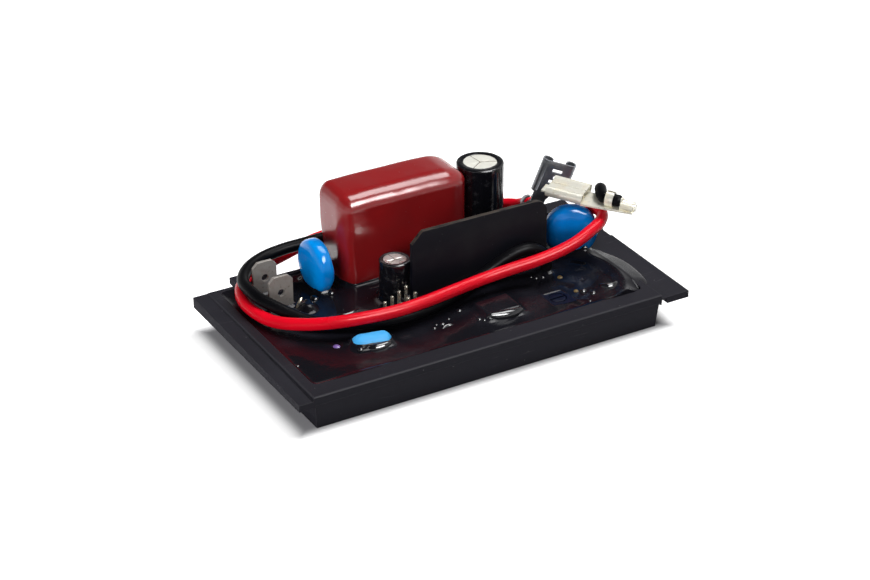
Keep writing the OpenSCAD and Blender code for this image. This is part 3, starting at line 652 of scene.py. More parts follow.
class Shape:
    """Points and faces of a mesh in the making, in millimetres."""

    def __init__(self) -> None:
        """Starts with nothing."""
        self.points: list[np.ndarray] = []
        self.faces: list[list[int]] = []
        self.count = 0

    def add(self, points: np.ndarray, *faces: np.ndarray) -> "Shape":
        """Adds points and the faces between them.

        Args:
            points: Points, three numbers each.
            *faces: Corner numbers within these points, one array for each number of corners.

        Returns:
            The shape itself.
        """
        flat = np.asarray(points, float).reshape(-1, 3)
        for block in faces:
            self.faces += (np.asarray(block) + self.count).tolist()
        self.points.append(flat)
        self.count += len(flat)
        return self

    def build(self, name: str, smooth: float = 50.0) -> bpy.types.Object:
        """Welds the shape, turns its faces outwards and links its object.

        Args:
            name: The piece's name.
            smooth: Largest angle in degrees that is shaded smooth.

        Returns:
            The object, at the origin.
        """
        mesh = bpy.data.meshes.new(name)
        mesh.from_pydata((np.concatenate(self.points) * MM).tolist(), [], self.faces)
        work = bmesh.new()
        work.from_mesh(mesh)
        bmesh.ops.remove_doubles(work, verts=work.verts, dist=WELD)
        bmesh.ops.recalc_face_normals(work, faces=work.faces)
        work.to_mesh(mesh)
        work.free()
        mesh.polygons.foreach_set("use_smooth", np.ones(len(mesh.polygons), bool))
        mesh.set_sharp_from_angle(angle=np.radians(smooth))
        piece = bpy.data.objects.new(name, mesh)
        bpy.context.scene.collection.objects.link(piece)
        return piece


def turned(profile: np.ndarray, sides: int, wobble: np.ndarray | None = None) -> Surface:
    """Surface of revolution about Z: (r, z) pairs carried round a circle.

    Args:
        profile: Radius and height of each ring.
        sides: Points round the circle.
        wobble: Added to the radius, ring by side.

    Returns:
        Points and faces.
    """
    angle = np.linspace(0, 2 * np.pi, sides, endpoint=False)
    radius = np.broadcast_to(profile[:, :1], (len(profile), sides))
    radius = np.maximum(radius if wobble is None else radius + wobble * (profile[:, :1] > 0), 0)
    height = np.broadcast_to(profile[:, 1:], (len(profile), sides))
    points = np.stack([radius * np.cos(angle), radius * np.sin(angle), height], -1)
    return points, grid_faces(len(profile), sides, True)


def arc(centre: Flat, radius: float, start: float, end: float, count: int) -> np.ndarray:
    """Points of an arc in a profile, from a start to an end angle in degrees."""
    angle = np.radians(np.linspace(start, end, count))
    return np.stack([centre[0] + radius * np.cos(angle), centre[1] + radius * np.sin(angle)], -1)


def spun(points: np.ndarray, degrees: float) -> np.ndarray:
    """Points turned about Z: (x cos a - y sin a, x sin a + y cos a, z)."""
    cos, sin = np.cos(np.radians(degrees)), np.sin(np.radians(degrees))
    return points @ np.array([[cos, sin, 0], [-sin, cos, 0], [0, 0, 1]])


def pose(back: np.ndarray, place: np.ndarray) -> Matrix:
    """Pose of a camera or lamp that looks away from a direction, its sides level.

    Args:
        back: Unit vector from what it looks at to it.
        place: Where it is, in metres.

    Returns:
        Its matrix: side = Z x back, up = back x side.
    """
    side = unit(np.cross([0.0, 0.0, 1.0], back))
    matrix = np.eye(4)
    matrix[:3, :3] = np.stack([side, np.cross(back, side), back], -1)
    matrix[:3, 3] = place
    return Matrix(matrix.tolist())


def smooth_route(route: np.ndarray, between: int) -> np.ndarray:
    """Cubic curve through a route's points, its slope at each point set by both neighbours.

    Args:
        route: The route's points.
        between: Steps from one point to the next.

    Returns:
        Points of the curve.
    """
    gap = np.linalg.norm(np.diff(route, axis=0), axis=1)[:, None]
    run = np.diff(route, axis=0) / gap
    slope = np.empty_like(route)
    slope[1:-1] = (run[:-1] * gap[1:] + run[1:] * gap[:-1]) / (gap[1:] + gap[:-1])
    slope[0], slope[-1] = run[0], run[-1]
    t = np.linspace(0, 1, between, endpoint=False)[None, :, None]
    start, end = route[:-1, None], route[1:, None]
    out, into = (slope[:-1] * gap)[:, None], (slope[1:] * gap)[:, None]
    curve = (2 * t**3 - 3 * t**2 + 1) * start + (t**3 - 2 * t**2 + t) * out
    curve = curve + (3 * t**2 - 2 * t**3) * end + (t**3 - t**2) * into
    return np.concatenate([curve.reshape(-1, 3), route[-1:]])


def carried_sides(path: np.ndarray) -> tuple[np.ndarray, np.ndarray]:
    """Two side directions at each station of a path, carried along it without twist.

    Args:
        path: The stations.

    Returns:
        Both sides, each a unit vector for every station.
    """
    ahead = unit(np.gradient(path, axis=0))
    side = np.empty_like(path)
    side[0] = unit(np.cross(ahead[0], [0.3, 1.0, 0.1]))
    for station in range(1, len(path)):
        last = side[station - 1]
        side[station] = unit(last - (last @ ahead[station]) * ahead[station])
    return side, np.cross(ahead, side)


def tube(path: np.ndarray, radius: np.ndarray | float, sides: int) -> tuple[np.ndarray, ...]:
    """Round tube along a path, closed at both ends by a point.

    Args:
        path: Its centre line.
        radius: One radius, or one for each station.
        sides: Points round it.

    Returns:
        Points, the rings first and the two end points last, its quads and its end triangles.
    """
    first, second = carried_sides(path)
    angle = np.linspace(0, 2 * np.pi, sides, endpoint=False)[:, None]
    reach = np.broadcast_to(np.asarray(radius, float), (len(path),))[:, None, None]
    round_it = np.cos(angle) * first[:, None] + np.sin(angle) * second[:, None]
    rings = path[:, None] + reach * round_it
    points = np.concatenate([rings.reshape(-1, 3), path[:1], path[-1:]])
    last_ring, centre = (len(path) - 1) * sides, len(path) * sides
    here, after = np.arange(sides), (np.arange(sides) + 1) % sides
    first_cap = np.stack([here, after, 0 * here + centre], -1)
    last_cap = np.stack([last_ring + after, last_ring + here, 0 * here + centre + 1], -1)
    return points, grid_faces(len(path), sides, True), np.concatenate([first_cap, last_cap])


def rounded_samples(half: float, low: float, high: float, flat: int, turn: int) -> np.ndarray:
    """Places across one face of a rounded box, even in angle over its corners.

    Args:
        half: Half the box's length on this axis.
        low: Radius of its edges at the low end.
        high: Radius at the high end.
        flat: Steps over the flat.
        turn: Steps over each corner.

    Returns:
        Places from -half to half.
    """
    rise = np.tan(np.radians(np.linspace(0, 45, turn + 1)))
    first = low - half - low * rise
    last = half - high + high * rise
    return np.concatenate([first[:0:-1], np.linspace(low - half, half - high, flat + 1), last[1:]])


def rounded_box(
    half: np.ndarray, low: np.ndarray, high: np.ndarray, flat: Sequence[int], turn: int
) -> Surface:
    """Box with round edges: every point of a plain box's face moves along the line from its
    nearest point in the inner box, to where the ellipsoid of the edge radii ends.

    Args:
        half: Half lengths on the three axes.
        low: Radii of the edges on each axis, at its low end.
        high: Radii at its high end.
        flat: Steps over the flat of each axis.
        turn: Steps over each corner.

    Returns:
        Points and faces about the centre, six grids that weld.
    """
    samples = [rounded_samples(*sizes, turn) for sizes in zip(half, low, high, flat)]
    all_points, all_faces, count = [], [], 0
    for axis in range(3):
        u, v = [a for a in range(3) if a != axis]
        first, second = np.meshgrid(samples[u], samples[v], indexing="ij")
        for end in (-1, 1):
            face = np.empty((*first.shape, 3))
            face[..., u], face[..., v], face[..., axis] = first, second, end * half[axis]
            inner = np.clip(face, low - half, half - high)
            radius = np.where(face < 0, low, high)
            all_points.append((inner + radius * unit((face - inner) / radius)).reshape(-1, 3))
            all_faces.append(grid_faces(*first.shape) + count)
            count += first.size
    return np.concatenate(all_points), np.concatenate(all_faces)


class Maker:
    """Puts finished pieces on the frame."""

    flat_degrees: float = 1.0
    sharp_degrees: float = 32.0

    def __init__(self, finishes: Sequence[Finish]) -> None:
        """Makes every finish's material once."""
        self.materials = {finish.slot: finish.make() for finish in finishes}

    def place(self, piece: bpy.types.Object, slot: str, *nodes: str) -> bpy.types.Object:
        """Gives a new piece its finish and its body, and hides the CAD nodes that it stands for.

        Args:
            piece: The piece.
            slot: Record slot of its finish, with .variant after it where it has one.
            *nodes: CAD nodes that it replaces.

        Returns:
            The piece.
        """
        piece.data.materials.clear()
        piece.data.materials.append(self.materials[slot])
        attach(piece, "root")
        if nodes:
            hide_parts(*nodes)
        LOG.info("%s: %d faces, %s", piece.name, len(piece.data.polygons), slot)
        return piece

    def keep(self, node: str, slot: str) -> None:
        """Gives a CAD node's own object its finish.

        Args:
            node: The node.
            slot: Record slot of its finish.
        """
        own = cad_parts[node]
        for holder in own.material_slots:
            holder.material = self.materials[slot]
        if not own.material_slots:
            own.data.materials.append(self.materials[slot])
        LOG.info("%s: kept, %s", node, slot)

    def eased(self, node: str, slot: str, ease: float, rings: int = 2) -> bpy.types.Object:
        """Copy of a CAD node with its sharp edges broken by a small round.

        Args:
            node: The node that the copy stands for.
            slot: Record slot of its finish.
            ease: Width of the round in millimetres.
            rings: Segments of the round.

        Returns:
            The piece.
        """
        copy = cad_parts[node].data.copy()
        work = bmesh.new()
        work.from_mesh(copy)
        bmesh.ops.remove_doubles(work, verts=work.verts, dist=WELD)
        flat = np.radians(self.flat_degrees)
        bmesh.ops.dissolve_limit(work, angle_limit=flat, verts=work.verts, edges=work.edges)
        work.to_mesh(copy)
        work.free()
        piece = bpy.data.objects.new(f"{node}_eased", copy)
        bpy.context.scene.collection.objects.link(piece)
        sharp = np.radians(self.sharp_degrees)
        bevel = piece.modifiers.new("ease", "BEVEL")
        bevel.width = ease * MM
        bevel.segments = rings
        bevel.limit_method = "ANGLE"
        bevel.angle_limit = sharp
        bevel.harden_normals = True
        copy.polygons.foreach_set("use_smooth", np.ones(len(copy.polygons), bool))
        copy.set_sharp_from_angle(angle=sharp)
        return self.place(piece, slot, node)


class FarEnd(Enum):
    """What a lead has on its far end."""

    RECEPTACLE = "connector"


@dataclass
class Lead:
    """Soft silicone lead from the resin to its push-on receptacle."""

    name: str
    slot: str
    receptacle: str
    metal: str
    route: tuple[Point, ...]
    diameter: float = 3.0
    sides: int = 28
    between: int = 10
    end_round: float = 0.25
    flaps: bool = False
    flap_half: Point = (1.62, 4.65, 0.2)
    flap_round: float = 0.16
    flap_dip: float = 0.1
    flap_at: Point = (1.72, 13.7, 0.5)
    far_end: FarEnd = FarEnd.RECEPTACLE

    def build(self, maker: Maker) -> None:
        """Args:
            maker: Puts the pieces on the frame.
        """
        path = smooth_route(np.array(self.route), self.between)
        travelled = np.concatenate([[0], np.cumsum(np.linalg.norm(np.diff(path, axis=0), axis=1))])
        length = travelled[-1]
        to_end = np.minimum(travelled, length - travelled)
        edge = np.clip(1 - to_end / self.end_round, 0, 1)
        radius = self.diameter / 2 - self.end_round * (1 - np.sqrt(1 - edge**2))
        piece = Shape().add(*tube(path, radius, self.sides)).build(f"{self.name}_cover")
        self._map(piece, path, travelled)
        maker.place(piece, self.slot, self.name)
        terminals = [maker.eased(self.receptacle, self.metal, 0.05, 1)]
        if self.flaps:
            terminals.append(self._flaps(maker))
        LOG.info("%s: %.1f mm long", self.name, length)

    def _flaps(self, maker: Maker) -> bpy.types.Object:
        """Closes the top of the receptacle's box: the two curled sides run on inwards, flat,
        and stop short of each other. Each dips by up to twice flap_dip, in proportion to x.

        Args:
            maker: Puts the piece on the frame.

        Returns:
            The piece.
        """
        end, last = np.array(self.route[-1]), np.array(self.route[-2])
        along = unit(last - end)
        across = unit(np.cross(along, [0.0, 0.0, 1.0]))
        axes = np.stack([across, along, np.cross(across, along)])
        half, radii = np.array(self.flap_half), np.full(3, self.flap_round)
        off, forward, up = self.flap_at
        shape = Shape()
        for side in (-1, 1):
            points, faces = rounded_box(half, radii, radii, (10, 20, 2), 4)
            points[:, 2] -= self.flap_dip * (points[:, 0] * -side / half[0] + 1)
            shape.add((points + [side * off, forward, up]) @ axes + end, faces)
        return maker.place(shape.build(f"{self.name}_flaps"), self.metal)

    def _map(self, piece: bpy.types.Object, path: np.ndarray, travelled: np.ndarray) -> None:
        """Writes the UV map "lead": turns round the tube, and millimetres along it.

        Args:
            piece: The tube.
            path: Its stations.
            travelled: Distance of each station from the exit.
        """
        mesh = piece.data
        places = np.empty(len(mesh.vertices) * 3)
        mesh.vertices.foreach_get("co", places)
        places = places.reshape(-1, 3) / MM
        nearest = np.empty(len(places), int)
        for block in np.array_split(np.arange(len(places)), 16):
            gap = places[block][:, None] - path[None]
            nearest[block] = np.argmin((gap**2).sum(-1), axis=1)
        first, second = carried_sides(path)
        off = places - path[nearest]
        turn = np.arctan2((off * second[nearest]).sum(-1), (off * first[nearest]).sum(-1)) / np.pi
        corner = np.empty(len(mesh.loops), int)
        mesh.loops.foreach_get("vertex_index", corner)
        layer = mesh.uv_layers.new(name="lead")
        uv = np.stack([np.abs(turn)[corner], travelled[nearest][corner]], -1)
        layer.data.foreach_set("uv", uv.astype(np.float32).ravel())


@dataclass
class Tray:
    """Moulded tray with its two flanges and the lug behind it."""

    ease: float = 0.14

    def build(self, maker: Maker) -> None:
        """Breaks the tray's edges and finishes the board in it.

        Args:
            maker: Puts the pieces on the frame.
        """
        maker.eased("tray", "tray_plastic", self.ease)
        maker.keep("circuit_board", "board_laminate")


@dataclass(frozen=True)
class Creep:
    """Resin crept up round a rectangle or circle: height falls off with distance."""

    x: float
    y: float
    half_x: float
    half_y: float
    height: float
    reach: float = 0.9
    turn: float = 0.0
    round: float = 0.0

    def lift(self, x: np.ndarray, y: np.ndarray) -> np.ndarray:
        """Height over the plain level: height times exp(-(distance / reach)).

        Args:
            x: Places on X.
            y: Places on Y.

        Returns:
            The height at each place.
        """
        turn = np.radians(self.turn)
        across = (x - self.x) * np.cos(turn) + (y - self.y) * np.sin(turn)
        along = (y - self.y) * np.cos(turn) - (x - self.x) * np.sin(turn)
        out_x = np.abs(across) - self.half_x + self.round
        out_y = np.abs(along) - self.half_y + self.round
        outside = np.hypot(np.maximum(out_x, 0), np.maximum(out_y, 0)) - self.round
        return self.height * np.exp(-np.maximum(outside, 0) / self.reach)


@dataclass(frozen=True)
class Swell:
    """Round drop or hollow in the resin, flat or domed, with an edge of a given width."""

    x: float
    y: float
    radius: float
    height: float
    edge: float

    def lift(self, x: np.ndarray, y: np.ndarray) -> np.ndarray:
        """Height over the plain level: a soft step from the edge inwards.

        Args:
            x: Places on X.
            y: Places on Y.

        Returns:
            The height at each place.
        """
        far = np.hypot(x - self.x, y - self.y)
        return self.height * step(far, self.radius, self.radius - self.edge)


@dataclass(frozen=True)
class Bead:
    """Drop of resin that set as half an ellipsoid."""

    x: float
    y: float
    radius: float
    high: float
    root: float = 0.35
    sunk: float = 0.05

    def add_to(self, shape: Shape, pool: "CastPool") -> None:
        """Adds the drop, closed under the surface.

        Args:
            shape: The shape it joins.
            pool: The resin that it stands on.
        """
        base = pool.height(np.array([self.x]), np.array([self.y]))[0]
        dome = arc((0, 0), 1.0, 90, 0, 10) * [self.radius, self.high]
        dome[0, 0] = 0.0
        profile = np.concatenate([dome, [[self.radius, -self.root], [0, -self.root]]])
        points, faces = turned(profile, 26)
        shape.add(points + [self.x, self.y, base - self.sunk], faces)


@dataclass(frozen=True)
class Thread:
    """Raised thread of resin, thickest in its middle."""

    line: tuple[Flat, ...]
    radius: float
    sunk: float

    def add_to(self, shape: Shape, pool: "CastPool") -> None:
        """Adds the thread, its axis a little below the resin's surface.

        Args:
            shape: The shape it joins.
            pool: The resin that it lies on.
        """
        path = smooth_route(np.array([(*place, 0.0) for place in self.line]), 9)
        path[:, 2] = pool.height(path[:, 0], path[:, 1]) - self.sunk
        share = np.linspace(0, np.pi, len(path))
        shape.add(*tube(path, self.radius * np.maximum(np.sin(share), 0.05) ** 0.5, 18))


@dataclass
class CastPool:
    """Cast resin: a height for every place on a grid, closed below."""

    level: float = RESIN_LEVEL
    floor: float = 5.4
    pitch: float = 0.34
    left: float = -44.7
    right: float = 45.1
    front: float = -23.1
    back: float = 26.6
    corner: float = 1.5
    hidden: float = 0.3  # how far the slab runs into the tray's walls
    wall_creep: float = 0.22
    wall_reach: float = 0.5
    long_ripple: tuple[float, int, float] = (15.0, 3, 0.09)  # wave length, seed, height
    short_ripple: tuple[float, int, float] = (6.0, 8, 0.018)
    spill_ripple: tuple[float, int, float] = (4.2, 17, 0.06)
    spill: Point = (22.9, -11.0, 27.5)  # centre and radius of the spill over the right rim
    spill_z: float = 8.75
    bank_wide: float = 6.2
    bank_high: float = 1.75
    bank_power: float = 0.9
    tray_end: float = 47.3
    rim_z: float = 9.35
    flange_z: float = 8.55
    thinnest: float = 0.05
    dial: Flat = (24.8, -16.4)  # sunk place over the trimmer
    dial_deep: float = 0.85
    swells: tuple[Swell, ...] = (
        Swell(-12.1, -3.9, 4.6, 0.6, 3.4),
        Swell(-29.65, 9.3, 3.2, 1.5, 2.6),
        Swell(-28.4, 11.6, 2.0, 0.9, 1.6),
        Swell(42.0, 8.0, 3.4, 0.5, 2.6),
        Swell(37.0, -5.6, 3.2, 0.35, 2.6),
        Swell(6.0, -17.0, 9.0, 0.25, 6.0),
        Swell(-34.0, -15.0, 9.0, -0.2, 8.0),
        Swell(14.0, -8.0, 12.0, 0.3, 9.0),
        Swell(-14.0, -15.0, 9.0, -0.2, 8.0),
        Swell(-21.0, 4.0, 8.0, 0.25, 7.0),
        Swell(31.5, -8.5, 6.0, 0.45, 5.0),
        Swell(26.0, -19.0, 6.0, -0.15, 5.0),
    )

    def creeps(self) -> list[Creep]:
        """Creeps round every part that stands in the resin, and round each header pin.

        Returns:
            The creeps: cans, film capacitor, discs, heat sink and transistor, tabs, bridge,
            small capacitors, trimmer, leads, then the pins.
        """
        # x, y, half_x, half_y, height, reach, turn and corner radius of each.
        made = [
            Creep(24.7, 20.0, 6, 6, 0.9, 0.6, 0, 6),
            Creep(-8.3, 4.64, 3.9, 3.9, 1.1, 0.55, 0, 3.9),
            Creep(0.6, 20.2, 17.3, 6.7, 1.15, 0.55, 0, 3.0),
            Creep(-22.7, 18.0, 2.1, 4.7, 1.6, 0.75, 0, 1.6),
            Creep(40.2, 1.8, 4.7, 2.1, 1.5, 0.7, -30, 1.6),
            Creep(12.8, 0.4, 19, 0.6, 0.8, 0.9),
            Creep(12.8, 3.2, 5.1, 2.3, 0.9, 0.8),
            Creep(-35.15, 12.3, 3.15, 0.4, 0.8, 0.6),
            Creep(-35.15, 21.0, 3.15, 0.4, 0.8, 0.6),
            Creep(8.95, -14.4, 4.5, 3.4, 1.75, 0.75, 0, 0.4),
            Creep(-24.1, -12.5, 5.0, 2.4, 1.15, 0.62, -11, 2.2),
            Creep(-32.0, -10.1, 1.0, 1.0, 0.1, 0.8, 0, 1.0),
            Creep(24.8, -16.4, 3.3, 3.3, 0.35, 1.6, 0, 0.5),
            Creep(43.4, 8.0, 1.5, 1.5, 0.8, 0.7, 0, 1.5),
            Creep(29.6, -3.6, 1.5, 1.5, 0.8, 0.7, 0, 1.5),
        ]
        pitch, degrees, half, rows = 3.1, 28.2, 0.32, 2.54
        along = np.array([np.cos(np.radians(degrees)), np.sin(np.radians(degrees))])
        across = np.array([along[1], -along[0]])
        for row, pins in ((0, (0, 1, 2, 3)), (1, (1, 2, 3))):
            for pin in pins:
                x, y = np.array([-16.1, -4.5]) + pin * pitch * along + row * rows * across
                made.append(Creep(x, y, half, half, 0.6, 0.45, degrees))
        return made

    def inside(self, x: np.ndarray, y: np.ndarray) -> np.ndarray:
        """Distance inwards from the tray's wall, negative past it.

        Args:
            x: Places on X.
            y: Places on Y.

        Returns:
            The distance, round at the corners.
        """
        middle = np.array([self.left + self.right, self.front + self.back]) / 2
        half = np.array([self.right - self.left, self.back - self.front]) / 2 - self.corner
        out_x = np.abs(x - middle[0]) - half[0]
        out_y = np.abs(y - middle[1]) - half[1]
        outside = np.hypot(np.maximum(out_x, 0), np.maximum(out_y, 0))
        return self.corner - outside - np.minimum(np.maximum(out_x, out_y), 0)

    def ripple(self, x: np.ndarray, y: np.ndarray, wave: tuple[float, int, float]) -> np.ndarray:
        """Unevenness of a wave length, seed and height, at each place."""
        return bump_field(np.stack([x, y, 0 * x], -1), wave[0], wave[1]) * wave[2]

    def height(self, x: np.ndarray, y: np.ndarray) -> np.ndarray:
        """Height of the surface: level + ripples + (sum of creeps^4)^(1/4) + swells, and the
        spill, whose bank rises as (distance inwards / width)^0.9 and falls off behind.

        Args:
            x: Places on X.
            y: Places on Y.

        Returns:
            The height at each place.
        """
        top = self.level + self.ripple(x, y, self.long_ripple)
        top = top + self.ripple(x, y, self.short_ripple)
        lifts = [part.lift(x, y) for part in self.creeps()]
        top = top + (np.stack(lifts) ** 4).sum(0) ** 0.25
        top = top + sum(swell.lift(x, y) for swell in self.swells)
        inside = np.maximum(self.inside(x, y), 0)
        top = top + self.wall_creep * np.exp(-inside / self.wall_reach)
        within = self.spill[2] - np.hypot(x - self.spill[0], y - self.spill[1])
        wavy = step(x, 18.0, 26.0) * step(within, 4.0, 9.0)
        top = top + self.ripple(x, y, self.spill_ripple) * wavy
        spilt = step(x, 30.0, 41.0) * step(within, -1.5, 0.0)
        top = top + spilt * (self._bank(x, y, within) - self.level)
        off_dial = np.maximum(np.abs(x - self.dial[0]), np.abs(y - self.dial[1]))
        return top - self.dial_deep * step(off_dial, 2.9, 1.9)

    def _bank(self, x: np.ndarray, y: np.ndarray, within: np.ndarray) -> np.ndarray:
        """Height of the spill: foot + high * (within / wide)^0.9, lower behind the bank, at
        its thin edge and towards the tray's front corner.

        Args:
            x: Places on X.
            y: Places on Y.
            within: Distance inwards from the spill's edge.

        Returns:
            The height at each place.
        """
        rise = np.clip(within / self.bank_wide, 0, 1) ** self.bank_power
        behind = 1.0 * step(within, 6.0, 9.5)
        edge = 0.5 * np.exp(-np.maximum(within, 0) / 0.4)
        corner = 1.2 * step(y, self.front + 5.0, self.front) * step(x, 40.0, 44.5)
        return self.spill_z + self.bank_high * rise - behind - edge - corner

    def build(self, maker: Maker) -> None:
        """Builds the closed slab from the cells inside the tray or under the spill.

        Args:
            maker: Puts the piece on the frame.
        """
        spill_x, spill_y, spill_r = self.spill
        x_end = spill_x + spill_r + 2 * self.pitch
        y_end = self.back + self.hidden + self.pitch
        x_at = np.arange(self.left - self.hidden, x_end, self.pitch)
        y_at = np.arange(self.front - self.hidden, y_end, self.pitch)
        x, y = np.meshgrid(x_at, y_at, indexing="ij")
        middle_x, middle_y = (x[:-1, :-1] + x[1:, 1:]) / 2, (y[:-1, :-1] + y[1:, 1:]) / 2
        in_tray = self.inside(middle_x, middle_y) > -self.hidden
        run = np.hypot(middle_x - spill_x, middle_y - spill_y) < spill_r + 0.2
        keep = in_tray | (run & (middle_x > self.right) & (middle_y > self.front - self.hidden))
        top = self.height(x, y)
        under = np.where(x > self.right + 0.2, self.rim_z, self.floor)
        under = np.where(x > self.tray_end - 0.1, self.flange_z, under)
        under = np.minimum(under, top - self.thinnest)
        points = np.stack([np.stack([x, y, top], -1), np.stack([x, y, under], -1)])
        number = np.arange(points.size // 3).reshape(points.shape[:3])
        corners = [number[:, :-1, :-1], number[:, 1:, :-1], number[:, 1:, 1:], number[:, :-1, 1:]]
        cells = np.stack(corners, -1)
        faces = [cells[0][keep], cells[1][keep][:, ::-1]]
        padded = np.pad(keep, 1)
        # Axis and way to each neighbour, and the cell's two corners on that side.
        beside = ((0, -1, 0, 3), (0, 1, 2, 1), (1, -1, 1, 0), (1, 1, 3, 2))
        for axis, way, start, end in beside:
            open_side = keep & ~np.roll(padded, -way, axis)[1:-1, 1:-1]
            upper, lower = cells[0][open_side], cells[1][open_side]
            wall = [upper[:, start], upper[:, end], lower[:, end], lower[:, start]]
            faces.append(np.stack(wall, -1))
        used, index = np.unique(np.concatenate(faces), return_inverse=True)
        shape = Shape().add(points.reshape(-1, 3)[used], index.reshape(-1, 4))
        maker.place(shape.build("resin_surface", 60.0), "casting_resin", "potting")


@dataclass
class ResinDrops:
    """Drops and threads that stand on the cast resin, two of them amber."""

    pool: CastPool
    beads: tuple[Bead, ...] = (
        Bead(32.1, -16.4, 0.85, 0.6), Bead(33.6, -18.5, 0.75, 0.55), Bead(30.8, -21.4, 0.35, 0.25),
        Bead(42.3, -1.5, 0.8, 0.55), Bead(25.0, -4.1, 0.4, 0.3), Bead(25.7, -5.2, 0.5, 0.4),
        Bead(27.3, -5.8, 0.55, 0.4), Bead(2.7, -16.4, 0.6, 0.45), Bead(3.3, -17.7, 0.5, 0.4),
        Bead(-8.1, -13.8, 0.6, 0.4), Bead(-5.5, -13.1, 0.75, 0.45), Bead(-6.9, -12.7, 0.4, 0.3),
        Bead(1.2, -9.5, 0.8, 0.45), Bead(-3.0, -11.8, 0.45, 0.35), Bead(-43.9, -13.4, 0.5, 0.3),
        Bead(-25.9, 12.9, 1.1, 0.7), Bead(-21.6, 12.6, 0.9, 0.6), Bead(-28.2, -14.6, 0.7, 0.45),
    )
    amber: tuple[Bead, ...] = (Bead(30.6, -8.5, 0.7, 0.5), Bead(30.6, -15.6, 0.6, 0.45))
    threads: tuple[Thread, ...] = (
        Thread(((4.2, -17.7), (7.5, -18.1), (11.0, -18.2), (14.2, -17.9)), 1.3, 0.45),
        Thread(((-26.6, -14.8), (-24.0, -15.4), (-20.4, -15.5)), 1.2, 0.6),
        Thread(((-6.8, -15.2), (-5.0, -14.3), (-3.2, -14.7)), 0.6, 0.2),
        Thread(((-13.0, 11.5), (-9.5, 10.3), (-5.5, 10.6), (-2.5, 11.6)), 0.8, 0.45),
        Thread(((-27.5, 3.5), (-22.5, 2.2), (-17.5, 3.6)), 0.9, 0.6),
    )
    ring: Point = (39.6, -15.6, 2.5)  # centre and radius of the open ring
    ring_degrees: Flat = (180, 315)

    def build(self, maker: Maker) -> None:
        """Builds all drops and the open ring, each group as one piece.

        Args:
            maker: Puts the pieces on the frame.
        """
        circle = tuple(map(tuple, arc(self.ring[:2], self.ring[2], *self.ring_degrees, 10)))
        shape = Shape()
        for thread in (*self.threads, Thread(circle, 1.0, 0.3)):
            thread.add_to(shape, self.pool)
        for group, body, slot, name in (
            (self.beads, shape, "casting_resin.drop", "resin_drops"),
            (self.amber, Shape(), "casting_resin.amber", "amber_drops"),
        ):
            for bead in group:
                bead.add_to(body, self.pool)
            maker.place(body.build(name), slot)


@dataclass
class FilmCapacitor:
    """Dipped film capacitor: block with unlike round edges, drawn in behind its foot."""

    centre: Point = (0.6, 20.8, 19.0)
    half: Point = (17.9, 7.6, 13.95)
    low_r: Point = (2.9, 4.6, 2.0)
    high_r: Point = (6.6, 3.2, 3.9)
    foot_back: float = 6.3
    leg_x: float = 13.75
    leg_r: float = 0.5
    leg_top: float = 7.0
    room: float = 0.02  # by which even the highest places lie inside the full size

    def build(self, maker: Maker) -> None:
        """Rounds the block, draws in its lower back and ends, and makes its faces uneven:
        each coordinate shrinks by |waves|, and by a dent exp(-(dx^2 + dz^2)) in the front.

        Args:
            maker: Puts the piece on the frame.
        """
        half = np.array(self.half)
        points, faces = rounded_box(
            half, np.array(self.low_r), np.array(self.high_r), (46, 12, 30), 12
        )
        x, y, z = points.T
        upper = step(z, 0.0, 13.0)
        sag = upper * (0.25 * step(x, -9.0, -half[0]) + 0.35 * step(x, 6.0, half[0]))
        foot = step(z, 4.0, -1.0)
        drawn = np.where(y > 0, 1 - foot * (1 - self.foot_back / half[1]), 1.0)
        waves = np.abs(bump_field(points, 12.0, 11) * 0.07 + bump_field(points, 5.0, 12) * 0.02)
        dent = 0.16 * np.exp(-(((x + 12) / 4) ** 2 + ((z - 1) / 3) ** 2)) * (y < 0)
        points[:, 2] -= sag + upper * (0.01 + 0.05 * waves)
        left_foot = 0.03 * step(z, 2.0, -9.0) * (x < 0)
        points[:, 1] *= drawn * (1 - (self.room + waves + dent) / half[1])
        points[:, 0] *= (1 - (self.room + waves) / half[0]) * (1 - left_foot)
        shape = Shape().add(points + np.array(self.centre), faces)
        for side in (-1, 1):
            foot_at = [side * self.leg_x, self.centre[1]]
            wire = np.array([[*foot_at, BOARD_TOP], [*foot_at, self.leg_top]])
            shape.add(*tube(wire, self.leg_r, 12))
        maker.place(shape.build("film_capacitor_body"), "red_dip", "film_capacitor")


